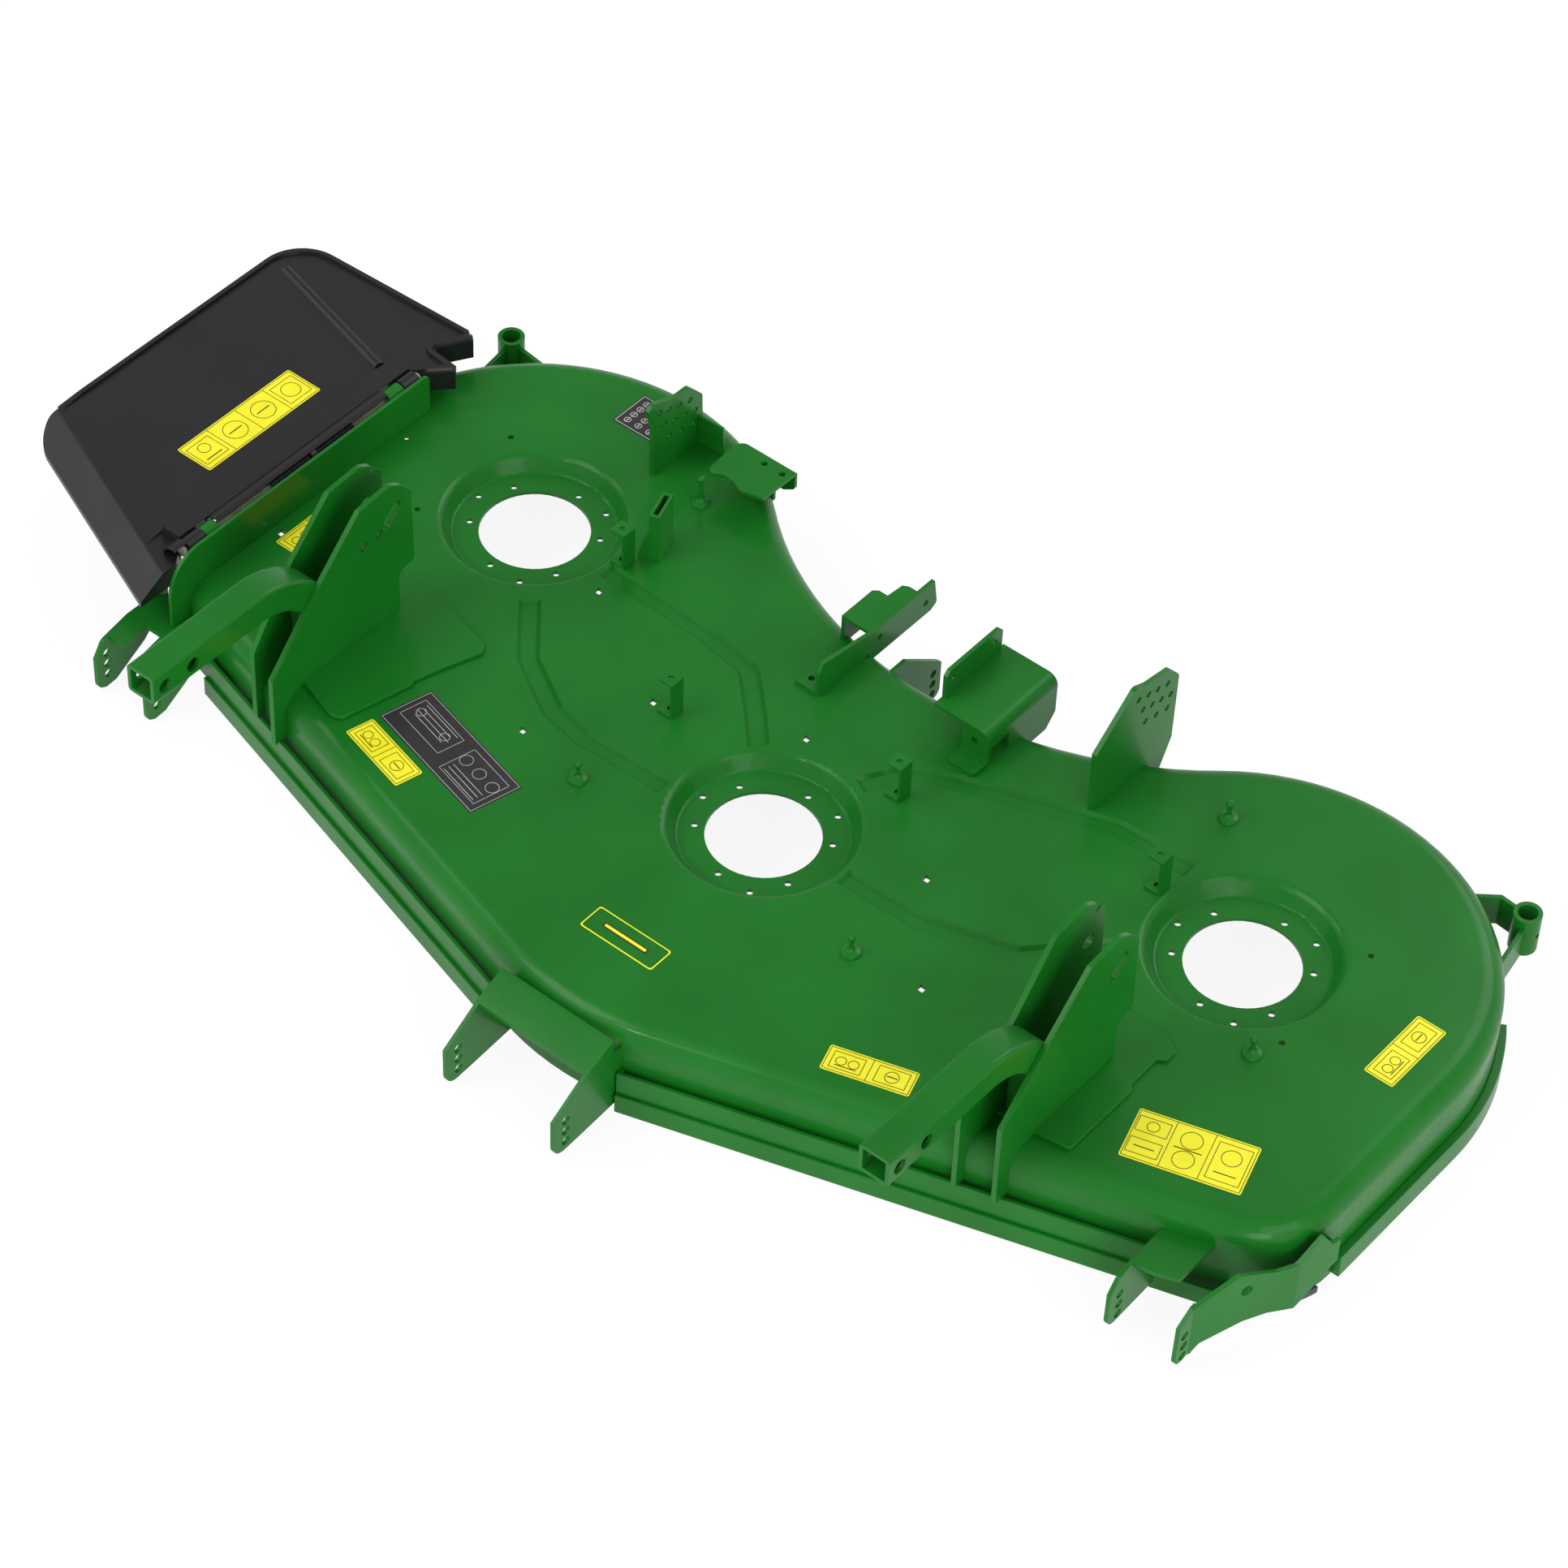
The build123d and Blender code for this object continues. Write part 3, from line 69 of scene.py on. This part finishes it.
cameraView = {
    "place": (2.3923, -3.0450, 4.1204),
    "aim": (-0.0311, 0.0716, 0.0),
    "roll": 2.58,
    "lens": 121.58,
    "sensor": 36.0,
    "near": 0.1,
    "far": 200.0,
}


def makeCamera():
    data = bpy.data.cameras.new("camera")
    data.lens = cameraView["lens"]
    data.sensor_width = cameraView["sensor"]
    data.clip_start = cameraView["near"]
    data.clip_end = cameraView["far"]
    camera = bpy.data.objects.new("camera", data)
    bpy.context.scene.collection.objects.link(camera)
    place = Vector(cameraView["place"])
    look = Vector(cameraView["aim"]) - place
    roll = Quaternion((0, 0, 1), radians(cameraView["roll"]))
    camera.rotation_mode = "QUATERNION"
    camera.rotation_quaternion = look.to_track_quat("-Z", "Y") @ roll
    camera.location = place
    bpy.context.scene.camera = camera


makeCamera()
print("camera set")

# Materials: soft patches of tint and gloss, with a fine grain in the bump

patches = {
    "detail": 3.0,
    "tintRange": (0.35, 0.65),
    "glossRange": (0.3, 0.7),
    "glossScale": 2.3,  # patches of gloss are this much finer than those of tint
    "grainDetail": 4.0,
    "coatRoughness": 0.14,
}


def srgb(red, green, blue):
    def linear(value):
        value = value / 255
        return value / 12.92 if value <= 0.04045 else ((value + 0.055) / 1.055) ** 2.4

    return (linear(red), linear(green), linear(blue), 1)


def noiseNode(tree, scale, detail):
    place = tree.nodes.new("ShaderNodeTexCoord")
    noise = tree.nodes.new("ShaderNodeTexNoise")
    noise.inputs["Scale"].default_value = scale
    noise.inputs["Detail"].default_value = detail
    tree.links.new(place.outputs["Object"], noise.inputs["Vector"])
    return noise.outputs["Fac"]


def addTint(tree, shader, look):
    ramp = tree.nodes.new("ShaderNodeValToRGB")
    dark, light = ramp.color_ramp.elements
    dark.position, light.position = patches["tintRange"]
    dark.color, light.color = look["dark"], look["light"]
    noise = noiseNode(tree, look["patch"], patches["detail"])
    tree.links.new(noise, ramp.inputs["Fac"])
    tree.links.new(ramp.outputs["Color"], shader.inputs["Base Color"])


def addGloss(tree, shader, look):
    spread = tree.nodes.new("ShaderNodeMapRange")
    sockets = ("From Min", "From Max", "To Min", "To Max")
    for socket, value in zip(sockets, patches["glossRange"] + look["roughness"]):
        spread.inputs[socket].default_value = value
    noise = noiseNode(tree, look["patch"] * patches["glossScale"], patches["detail"])
    tree.links.new(noise, spread.inputs["Value"])
    tree.links.new(spread.outputs["Result"], shader.inputs["Roughness"])


def addGrain(tree, shader, look):
    bump = tree.nodes.new("ShaderNodeBump")
    bump.inputs["Strength"].default_value = look["grainDepth"]
    bump.inputs["Distance"].default_value = look["grainHeight"]
    noise = noiseNode(tree, look["grain"], patches["grainDetail"])
    tree.links.new(noise, bump.inputs["Height"])
    tree.links.new(bump.outputs["Normal"], shader.inputs["Normal"])


def finish(name, look):
    material = bpy.data.materials.new(name)
    material.use_nodes = True
    tree = material.node_tree
    shader = tree.nodes["Principled BSDF"]
    addTint(tree, shader, look)
    addGloss(tree, shader, look)
    addGrain(tree, shader, look)
    shader.inputs["Metallic"].default_value = look.get("metal", 0.0)
    shader.inputs["Specular IOR Level"].default_value = look["specular"]
    shader.inputs["Coat Weight"].default_value = look.get("coat", 0.0)
    shader.inputs["Coat Roughness"].default_value = patches["coatRoughness"]
    return material


greenPaint = finish(
    "green_powder_coat",
    {
        "dark": srgb(16, 103, 24),
        "light": srgb(20, 112, 29),
        "patch": 7.0,
        "roughness": (0.36, 0.44),
        "grain": 1400.0,
        "grainDepth": 0.06,
        "grainHeight": 0.0004,
        "specular": 0.14,
        "coat": 0.2,
    },
)
chutePlastic = finish(
    "moulded_chute_plastic",
    {
        "dark": srgb(17, 17, 17),
        "light": srgb(21, 21, 21),
        "patch": 9.0,
        "roughness": (0.33, 0.4),
        "grain": 900.0,
        "grainDepth": 0.22,
        "grainHeight": 0.0006,
        "specular": 0.4,
    },
)
# The pin's body gets a darker copy of its zinc colour: painted shade under the chute's lip
pinBodyShadedSteel = finish(
    "shaded_zinc_pin_body",
    {
        "dark": srgb(118, 115, 100),
        "light": srgb(138, 134, 118),
        "patch": 60.0,
        "roughness": (0.5, 0.62),
        "grain": 1500.0,
        "grainDepth": 0.1,
        "grainHeight": 0.0003,
        "metal": 0.2,
        "specular": 0.25,
    },
)
# The same zinc, lighter: a painted lit copy of the pin's colour, used on its two ends
pinEndsLitSteel = finish(
    "lit_zinc_pin_ends",
    {
        "dark": srgb(186, 182, 164),
        "light": srgb(204, 200, 182),
        "patch": 60.0,
        "roughness": (0.5, 0.62),
        "grain": 1500.0,
        "grainDepth": 0.1,
        "grainHeight": 0.0003,
        "specular": 0.3,
    },
)
springSteel = finish(
    "blacked_spring_wire",
    {
        "dark": srgb(28, 28, 30),
        "light": srgb(44, 44, 46),
        "patch": 200.0,
        "roughness": (0.3, 0.45),
        "grain": 2500.0,
        "grainDepth": 0.1,
        "grainHeight": 0.0002,
        "metal": 0.6,
        "specular": 0.5,
    },
)
skidSteel = finish(
    "worn_skid_steel",
    {
        "dark": srgb(68, 62, 68),
        "light": srgb(92, 86, 90),
        "patch": 40.0,
        "roughness": (0.4, 0.6),
        "grain": 700.0,
        "grainDepth": 0.3,
        "grainHeight": 0.0006,
        "metal": 0.5,
        "specular": 0.5,
    },
)


def labelFinish(name, dark, light):
    look = {
        "dark": srgb(*dark),
        "light": srgb(*light),
        "patch": 30.0,
        "roughness": (0.38, 0.46),
        "grain": 600.0,
        "grainDepth": 0.08,
        "grainHeight": 0.0003,
        "specular": 0.4,
    }
    return finish(name, look)


yellowFilm = labelFinish("yellow_label_film", (240, 232, 30), (246, 239, 40))
blackFilm = labelFinish("black_label_film", (38, 34, 36), (44, 40, 42))
whiteInk = labelFinish("grey_label_print", (176, 176, 176), (190, 190, 190))
darkInk = labelFinish("black_label_print", (40, 38, 16), (48, 46, 20))
print("materials made")

# CAD pieces, each shown through a smooth copy with rounded edges

sharpAngle = 38  # degrees from which an edge counts as sharp
creaseAngle = {"front_left_corner_guard": 6}
edgeRound = {  # width of the rounding in mm, and the pieces that have it
    0.4: ("cover_studs",),
    0.5: ("front_baffle",),
    0.6: (
        "left_arm_outer_plate",
        "left_arm_inner_plate",
        "right_arm_outer_plate",
        "right_arm_inner_plate",
        "left_hanger_plate",
        "right_hanger_plate",
        "box_bracket",
        "channel_bracket",
        "belt_cover_clips",
        "front_right_roller_bracket",
        "front_left_roller_bracket",
    ),
    0.7: ("front_centre_roller_bracket",),
    0.8: (
        "front_left_corner_guard",
        "chute_hinge_ears",
        "left_arm_tube",
        "right_arm_tube",
    ),
    1.2: ("deck_shell", "discharge_chute", "chute_hinge_pin"),
}
plainEdge = 1.0  # mm, on every other piece
edgeWidth = {node: width for width, members in edgeRound.items() for node in members}

# Boxes in mm that are cut away: the centre bracket's top ends in front of the
# deck's round edge, and the left bracket's shelf is short
carvedBoxes = {
    "front_centre_roller_bracket": ((-80.0, -334.0, -7.0), (80.0, -300.0, 30.0)),
    "front_left_roller_bracket": ((693.0, -215.0, -30.0), (740.0, -100.0, -10.0)),
}

bodyOf = {}
for body, members in frame["record"]["behaviour"]["bodies"].items():
    for node in members:
        bodyOf[node] = body


def linkPiece(name, mesh, materials, body):
    piece = bpy.data.objects.new(name, mesh)
    bpy.context.scene.collection.objects.link(piece)
    for material in materials:
        mesh.materials.append(material)
    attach(piece, body)
    return piece


def meshFrom(bm, name):
    bmesh.ops.recalc_face_normals(bm, faces=bm.faces)
    mesh = bpy.data.meshes.new(name)
    bm.to_mesh(mesh)
    bm.free()
    return mesh


def shadeSmooth(mesh, angle=sharpAngle):
    mesh.shade_smooth()
    mesh.set_sharp_from_angle(angle=radians(angle))


def mergedCopy(node):
    bm = bmesh.new()
    bm.from_mesh(nodes[node].data)
    bmesh.ops.remove_doubles(bm, verts=bm.verts, dist=2e-6)
    flat = radians(0.4)
    bmesh.ops.dissolve_limit(bm, angle_limit=flat, verts=bm.verts, edges=bm.edges)
    return bm


def roundEdges(bm, width):
    sharp = radians(sharpAngle)
    bmesh.ops.bevel(
        bm,
        geom=[e for e in bm.edges if e.is_manifold and e.calc_face_angle() > sharp],
        offset=width,
        offset_type="OFFSET",
        affect="EDGES",
        segments=2,
        profile=0.5,
        material=-1,
        clamp_overlap=True,
    )


def carve(bm, low, high):
    low, high = [Vector([value * mm for value in corner]) for corner in (low, high)]
    box = bmesh.new()
    bmesh.ops.create_cube(box, size=1.0)
    bmesh.ops.scale(box, verts=box.verts, vec=high - low)
    bmesh.ops.translate(box, verts=box.verts, vec=(low + high) / 2)
    target = bpy.data.objects.new("carved", meshFrom(bm, "carved"))
    cutter = bpy.data.objects.new("cutter", meshFrom(box, "cutter"))
    for helper in (target, cutter):
        bpy.context.scene.collection.objects.link(helper)
    cut = target.modifiers.new("cut", "BOOLEAN")
    cut.operation = "DIFFERENCE"
    cut.solver = "EXACT"
    cut.object = cutter
    state = bpy.context.evaluated_depsgraph_get()
    result = bpy.data.meshes.new_from_object(target.evaluated_get(state))
    for helper in (target, cutter):
        bpy.data.objects.remove(helper)
    carved = bmesh.new()
    carved.from_mesh(result)
    return carved


def dressNode(node, material):
    name = "painted_" + node
    bm = mergedCopy(node)
    if node in carvedBoxes:
        bm = carve(bm, *carvedBoxes[node])
    roundEdges(bm, edgeWidth.get(node, plainEdge) * mm)
    mesh = meshFrom(bm, name)
    shadeSmooth(mesh, creaseAngle.get(node, sharpAngle))
    piece = linkPiece(name, mesh, [material], bodyOf[node])
    even = piece.modifiers.new("even_normals", "WEIGHTED_NORMAL")
    even.mode = "FACE_AREA"
    even.weight = 100
    even.keep_sharp = True
    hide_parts(node)
    return piece


# The pin's ends get the lighter, painted lit copy of its zinc colour, so the body keeps the
# painted shade
def paintLitPinEnds(pin, depth):
    low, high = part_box("chute_hinge_pin")
    pin.data.materials.append(pinEndsLitSteel)
    for face in pin.data.polygons:
        if face.center.y < low.y + depth or face.center.y > high.y - depth:
            face.material_index = 1


springNodes = ("chute_spring_front", "chute_spring_rear")
notGreen = ("discharge_chute", "chute_hinge_pin", "wear_skid") + springNodes
for node in sorted(nodes):
    if node not in notGreen:
        dressNode(node, greenPaint)
dressNode("discharge_chute", chutePlastic)
hingePin = dressNode("chute_hinge_pin", pinBodyShadedSteel)
paintLitPinEnds(hingePin, 4.2 * mm)
dressNode("wear_skid", skidSteel)
print("CAD pieces dressed")

# Torsion springs wound close on the hinge pin

springLook = {
    "wire": 1.5 * mm,  # radius of the wire
    "radius": 6.9 * mm,
    "pitch": 3.3 * mm,
    "stepsPerTurn": 20,
    "wireSides": 8,
    "smoothAngle": 60,
}


def windSpring(node):
    low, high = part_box(node)
    axisX, axisZ = (low.x + high.x) / 2, (low.z + high.z) / 2
    wire = springLook["wire"]
    length = high.y - low.y - 2 * wire
    turns = length / springLook["pitch"]
    steps = int(turns * springLook["stepsPerTurn"])
    start = (axisX + springLook["radius"], low.y + wire, axisZ)
    bm = bmesh.new()
    section = bmesh.ops.create_circle(
        bm,
        cap_ends=True,
        radius=wire,
        segments=springLook["wireSides"],
        matrix=Matrix.Translation(start),
    )
    bmesh.ops.spin(
        bm,
        geom=section["verts"] + bm.edges[:] + bm.faces[:],
        cent=(axisX, 0, axisZ),
        axis=(0, 1, 0),
        dvec=(0, length / steps, 0),
        angle=2 * pi * turns,
        steps=steps,
        use_duplicate=False,
    )
    bmesh.ops.remove_doubles(bm, verts=bm.verts, dist=1e-6)
    name = "wound_" + node
    mesh = meshFrom(bm, name)
    shadeSmooth(mesh, springLook["smoothAngle"])
    piece = linkPiece(name, mesh, [springSteel], bodyOf[node])
    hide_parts(node)


for node in springNodes:
    windSpring(node)
print("springs wound")

# Moulded lip of the chute over the hinge pin, and the ridge across its top

hingeLip = {  # mm; x and z of the axis, and the stretches of y that the lip covers
    "axis": (-721.0, 60.0),
    "stretches": ((-156.0, -136.3), (-88.7, 188.7)),
    "outline": (  # radius, and degrees round the pin from the deck's side over the top
        (12.2, (70, 80, 100, 120, 140, 160, 176)),
        (14.4, (176, 160, 140, 122)),
        (13.1, (116, 100, 80, 70)),
    ),
}
chuteRidge = {  # mm; the section is in shares of half the width and of the height
    "ends": ((-960, 278, 63.0), (-764, 226, 63.0)),
    "width": 15,
    "height": 4.5,
    "crest": ((-1, 0), (-0.75, 0.5), (-0.4, 0.9), (0, 1), (0.4, 0.9), (0.75, 0.5), (1, 0)),
    "foot": ((1, -0.4), (-1, -0.4)),
}


def extrudeFaces(bm, faces, offset):
    raised = bmesh.ops.extrude_face_region(bm, geom=faces)["geom"]
    moved = [v for v in raised if isinstance(v, bmesh.types.BMVert)]
    bmesh.ops.translate(bm, verts=moved, vec=offset)
    return moved


def chuteBar(name, outline, start, end):
    bm = bmesh.new()
    section = bm.faces.new([bm.verts.new(start + point) for point in outline])
    extrudeFaces(bm, [section], end - start)
    mesh = meshFrom(bm, name)
    shadeSmooth(mesh)
    linkPiece(name, mesh, [chutePlastic], "chute")


def makeHingeLip():
    axisX, axisZ = hingeLip["axis"]
    outline = []
    for radius, angles in hingeLip["outline"]:
        for angle in map(radians, angles):
            point = (axisX + radius * cos(angle), 0, axisZ + radius * sin(angle))
            outline.append(Vector(point) * mm)
    for number, stretch in enumerate(hingeLip["stretches"], 1):
        low, high = [Vector((0, y * mm, 0)) for y in stretch]
        chuteBar(f"chute_hinge_lip_{number}", outline, low, high)


def makeRidge():
    start, end = [Vector(place) * mm for place in chuteRidge["ends"]]
    along = (end - start).normalized()
    across = Vector((-along.y, along.x, 0)) * chuteRidge["width"] / 2 * mm
    rise = Vector((0, 0, chuteRidge["height"] * mm))
    section = chuteRidge["crest"] + chuteRidge["foot"]
    chuteBar("chute_ridge", [across * side + rise * up for side, up in section], start, end)


makeHingeLip()
makeRidge()
print("chute lip and ridge made")

# Labels: plain fields of colour with a printed border, dividing lines and rings

labelFilm = 0.35 * mm
inkLift = 0.15 * mm
labelCorner = 2.5 * mm
labelMargin = 2.0 * mm
ringSides = 20
deckTop = 20 * mm
chuteTop = 63.5 * mm


def slab(bm, corners, z, thickness, rounding, materialIndex):
    base = [bm.verts.new((x, y, z)) for x, y in corners]
    bm.faces.new(base).material_index = materialIndex
    if rounding:
        bmesh.ops.bevel(
            bm,
            geom=base,
            offset=rounding,
            offset_type="OFFSET",
            affect="VERTICES",
            segments=4,
            profile=0.5,
            material=-1,
        )
    # The bevel makes a new face, so the newest one that lies at this height is taken
    newest = [f for f in bm.faces if all(abs(v.co.z - z) < 1e-7 for v in f.verts)][-1]
    extrudeFaces(bm, [newest], (0, 0, thickness))
    bmesh.ops.dissolve_degenerate(bm, dist=1e-7, edges=bm.edges)


def cornersOf(centre, along, across, length, width):
    half, side = along * length / 2, across * width / 2
    return [centre + half + side, centre - half + side, centre - half - side, centre + half - side]


def printedRing(bm, centre, radius, line, z):
    place = Matrix.Translation((centre.x, centre.y, z))
    verts = []
    for size in (radius, radius - line):
        circle = bmesh.ops.create_circle(bm, segments=ringSides, radius=size, matrix=place)
        verts += circle["verts"]
    edges = list({edge for vert in verts for edge in vert.link_edges})
    flat = bmesh.ops.bridge_loops(bm, edges=edges)["faces"]
    verts += extrudeFaces(bm, flat, (0, 0, inkLift))
    for vert in verts:
        for face in vert.link_faces:
            face.material_index = 1


def label(name, look):
    centre = Vector(look["centre"]) * mm
    turn = radians(look["turn"])
    along = Vector((cos(turn), sin(turn)))
    across = Vector((-along.y, along.x))
    length, width = look["length"] * mm, look["width"] * mm
    line = look.get("line", 0.7) * mm
    base = look.get("z", deckTop)
    inkZ = base + labelFilm
    bm = bmesh.new()
    slab(bm, cornersOf(centre, along, across, length, width), base, labelFilm, labelCorner, 0)

    def at(share, crossShare):
        return centre + along * share * length + across * crossShare * width

    def bar(middle, barLength, barWidth, direction=along, side=across):
        slab(bm, cornersOf(middle, direction, side, barLength, barWidth), inkZ, inkLift, 0, 1)

    def box(middle, boxLength, boxWidth):
        for sign in (-1, 1):
            bar(middle + across * sign * boxWidth / 2, boxLength, line)
            bar(middle + along * sign * boxLength / 2, boxWidth, line, across, along)

    box(centre, length - 2 * labelMargin, width - 2 * labelMargin)
    for share in look.get("dividers", ()):
        bar(at(share, 0), width - 2 * labelMargin, line, across, along)
    for share, crossShare, barLength, barWidth in look["bars"]:
        bar(at(share, crossShare), barLength * mm, barWidth * mm)
    for share, crossShare, radius in look["rings"]:
        printedRing(bm, at(share, crossShare), radius * mm, 1.1 * line, inkZ)
    for share, crossShare, boxLength, boxWidth in look.get("boxes", ()):
        box(at(share, crossShare), boxLength * mm, boxWidth * mm)
    body, slotName = look.get("body", "deck"), look.get("slot", "green_paint")
    linkPiece(name, meshFrom(bm, name), look["films"], body)


# Centres, lengths and widths are in mm, and turns in degrees. What is printed has its place
# in shares of the label's length and width, then its own length and width or radius in mm.
yellowFilms = [yellowFilm, darkInk]
blackFilms = [blackFilm, whiteInk]
twoCells = {
    "length": 98,
    "width": 36,
    "dividers": (0,),
    "boxes": ((0.25, 0, 34, 22), (-0.25, 0, 34, 22)),
    "rings": ((0.25, 0, 8), (-0.32, 0, 6), (-0.18, 0, 6)),
    "bars": ((0.25, 0, 12, 1.2), (-0.25, -0.2, 24, 1.0)),
    "films": yellowFilms,
}
chartGrid = [(0.3 - 0.2 * row, -0.28 + 0.28 * column) for row in range(4) for column in range(3)]
labels = {
    "label_left_rear": {**twoCells, "centre": (703, 187), "turn": 90},
    "label_left_front": {
        "centre": (616, -67),
        "turn": 17,
        "length": 131,
        "width": 67,
        "dividers": (-0.18, 0.14),
        "boxes": ((0.32, 0, 36, 50), (-0.34, 0.22, 34, 20), (-0.34, -0.22, 34, 20)),
        "rings": ((0.32, 0.12, 11), (-0.02, 0.2, 12), (-0.02, -0.2, 12), (-0.34, 0.22, 7)),
        "bars": ((0.32, -0.22, 24, 1.2), (-0.02, 0, 30, 1.2), (-0.34, -0.22, 22, 1.2)),
        "films": yellowFilms,
    },
    "label_front_middle": {**twoCells, "centre": (305, -197), "turn": 17.5, "width": 34},
    "label_right_front": {**twoCells, "centre": (-372, -192), "turn": -14.2, "width": 35},
    "label_blade_chart": {
        "centre": (-319.5, -144),
        "turn": -14.2,
        "length": 176,
        "width": 67,
        "line": 0.55,
        "boxes": ((0.26, 0, 66, 46), (-0.24, 0.06, 74, 34)),
        "rings": (
            *[(share, 0.1, 8) for share in (0.12, 0.26, 0.4)],
            *[(share, 0.1, 6) for share in (-0.38, -0.12)],
        ),
        "bars": (
            *[(-0.24, 0.26 - 0.09 * row, 60 - 9 * (row % 2), 0.7) for row in range(4)],
            *[(0.26, -0.12 - 0.09 * row, 56, 0.7) for row in range(3)],
        ),
        "films": blackFilms,
    },
    "label_height_chart": {
        "centre": (-507, 399),
        "turn": 90,
        "length": 56,
        "width": 58,
        "line": 0.9,
        "rings": [(*place, 4.4) for place in chartGrid],
        "bars": [(*place, 5.5, 1.4) for place in chartGrid],
        "films": blackFilms,
    },
    "label_right_side": {**twoCells, "centre": (-668, 17), "turn": 90, "width": 33},
    "label_chute": {
        "centre": (-811.5, 61.5),
        "turn": 90,
        "length": 181,
        "width": 51,
        "dividers": (-0.25, 0, 0.25),
        "boxes": ((0.375, 0, 34, 34), (-0.375, 0, 34, 34)),
        "rings": ((0.125, 0, 15), (-0.125, 0, 15), (0.375, 0, 12), (-0.375, 0.1, 8)),
        "bars": ((0.125, 0, 20, 1.4), (-0.125, 0, 20, 1.4), (-0.375, -0.22, 24, 1.4)),
        "films": yellowFilms,
        "z": chuteTop,
        "body": "chute",
        "slot": "chute_plastic",
    },
}
for name, look in labels.items():
    label(name, look)

# Green field in front with a yellow edge, and one dark bar with a yellow line

frontField = {
    "centre": (-1, -224),
    "layers": ((98, 34, 0), (95, 31, 2), (60, 7, 1), (56, 3.5, 0)),  # length, width, film
    "corner": 3.0,
}


def makeFrontField():
    centre = Vector(frontField["centre"]) * mm
    along, across = Vector((1, 0)), Vector((0, 1))
    bm = bmesh.new()
    height, thickness = deckTop, labelFilm
    for length, width, film in frontField["layers"]:
        corners = cornersOf(centre, along, across, length * mm, width * mm)
        corner = min(frontField["corner"], width / 4) * mm
        slab(bm, corners, height, thickness, corner, film)
        height += thickness
        thickness = inkLift
    films = yellowFilms + [greenPaint]
    linkPiece("label_name_field", meshFrom(bm, "label_name_field"), films, "deck")


makeFrontField()
print("labels laid")

# Studio: pale floor, soft sky and lamps

studio = {
    "floorSize": 60.0,
    "floorSeen": 0.9,
    "floorShadow": (0.12, 0.12, 0.12, 1),
    "floorBounce": (0.8, 0.8, 0.8, 1),
    "skyHorizon": (0.95, 0.95, 0.95, 1),
    "skyTop": (0.55, 0.55, 0.55, 1),
    "skyTopHeight": 0.6,
    "lamps": {
        "key": {"place": (-2.5, -3.5, 4.5), "power": 118, "size": 3.0},
        "fill": {"place": (4.5, -1.5, 3.0), "power": 60, "size": 3.0},
        "rear": {"place": (0.5, 4.5, 3.5), "power": 80, "size": 3.0},
        "low": {"place": (4.2, -3.6, 0.9), "power": 70, "size": 2.0},
        "chute": {"place": (-4.3, -1.15, 3.5), "power": 22, "size": 1.6},
        "glint": {"place": (-0.3, -4.7, 3.9), "power": 26, "size": 0.5},
    },
}


def floorMaterial():
    material = bpy.data.materials.new("pale_floor")
    material.use_nodes = True
    tree = material.node_tree
    tree.nodes.clear()
    output = tree.nodes.new("ShaderNodeOutputMaterial")
    ray = tree.nodes.new("ShaderNodeLightPath")
    cameraOrGloss = tree.nodes.new("ShaderNodeMath")
    cameraOrGloss.operation = "MAXIMUM"
    anySight = tree.nodes.new("ShaderNodeMath")
    anySight.operation = "MAXIMUM"
    glow = tree.nodes.new("ShaderNodeEmission")
    glow.inputs["Strength"].default_value = studio["floorSeen"]
    shadow = tree.nodes.new("ShaderNodeBsdfDiffuse")
    shadow.inputs["Color"].default_value = studio["floorShadow"]
    seen = tree.nodes.new("ShaderNodeAddShader")
    bounce = tree.nodes.new("ShaderNodeBsdfDiffuse")
    bounce.inputs["Color"].default_value = studio["floorBounce"]
    mix = tree.nodes.new("ShaderNodeMixShader")
    links = (
        (ray.outputs["Is Camera Ray"], cameraOrGloss.inputs[0]),
        (ray.outputs["Is Glossy Ray"], cameraOrGloss.inputs[1]),
        (cameraOrGloss.outputs[0], anySight.inputs[0]),
        (ray.outputs["Is Transmission Ray"], anySight.inputs[1]),
        (anySight.outputs[0], mix.inputs["Fac"]),
        (glow.outputs[0], seen.inputs[0]),
        (shadow.outputs[0], seen.inputs[1]),
        (bounce.outputs[0], mix.inputs[1]),
        (seen.outputs[0], mix.inputs[2]),
        (mix.outputs[0], output.inputs["Surface"]),
    )
    for source, target in links:
        tree.links.new(source, target)
    return material


def makeFloor():
    bm = bmesh.new()
    bmesh.ops.create_grid(bm, x_segments=1, y_segments=1, size=studio["floorSize"])
    bmesh.ops.translate(bm, verts=bm.verts, vec=(0, 0, cadBox[0].z))
    mesh = meshFrom(bm, "floor")
    mesh.materials.append(floorMaterial())
    floor = bpy.data.objects.new("floor", mesh)
    bpy.context.scene.collection.objects.link(floor)


def makeSky():
    world = bpy.data.worlds.new("soft_sky")
    bpy.context.scene.world = world
    world.use_nodes = True
    tree = world.node_tree
    place = tree.nodes.new("ShaderNodeTexCoord")
    split = tree.nodes.new("ShaderNodeSeparateXYZ")
    ramp = tree.nodes.new("ShaderNodeValToRGB")
    horizon, top = ramp.color_ramp.elements
    horizon.color, top.color = studio["skyHorizon"], studio["skyTop"]
    top.position = studio["skyTopHeight"]
    tree.links.new(place.outputs["Generated"], split.inputs["Vector"])
    tree.links.new(split.outputs["Z"], ramp.inputs["Fac"])
    tree.links.new(ramp.outputs["Color"], tree.nodes["Background"].inputs["Color"])


def makeLamp(name, look):
    data = bpy.data.lights.new(name, "AREA")
    data.energy = look["power"]
    data.size = look["size"]
    lamp = bpy.data.objects.new(name, data)
    bpy.context.scene.collection.objects.link(lamp)
    place = Vector(look["place"])
    lamp.location = place
    lamp.rotation_mode = "QUATERNION"
    lamp.rotation_quaternion = (-place).to_track_quat("-Z", "Y")


makeFloor()
makeSky()
for name, look in studio["lamps"].items():
    makeLamp(name, look)
bpy.context.scene.view_settings.view_transform = "Standard"
print("studio lit")
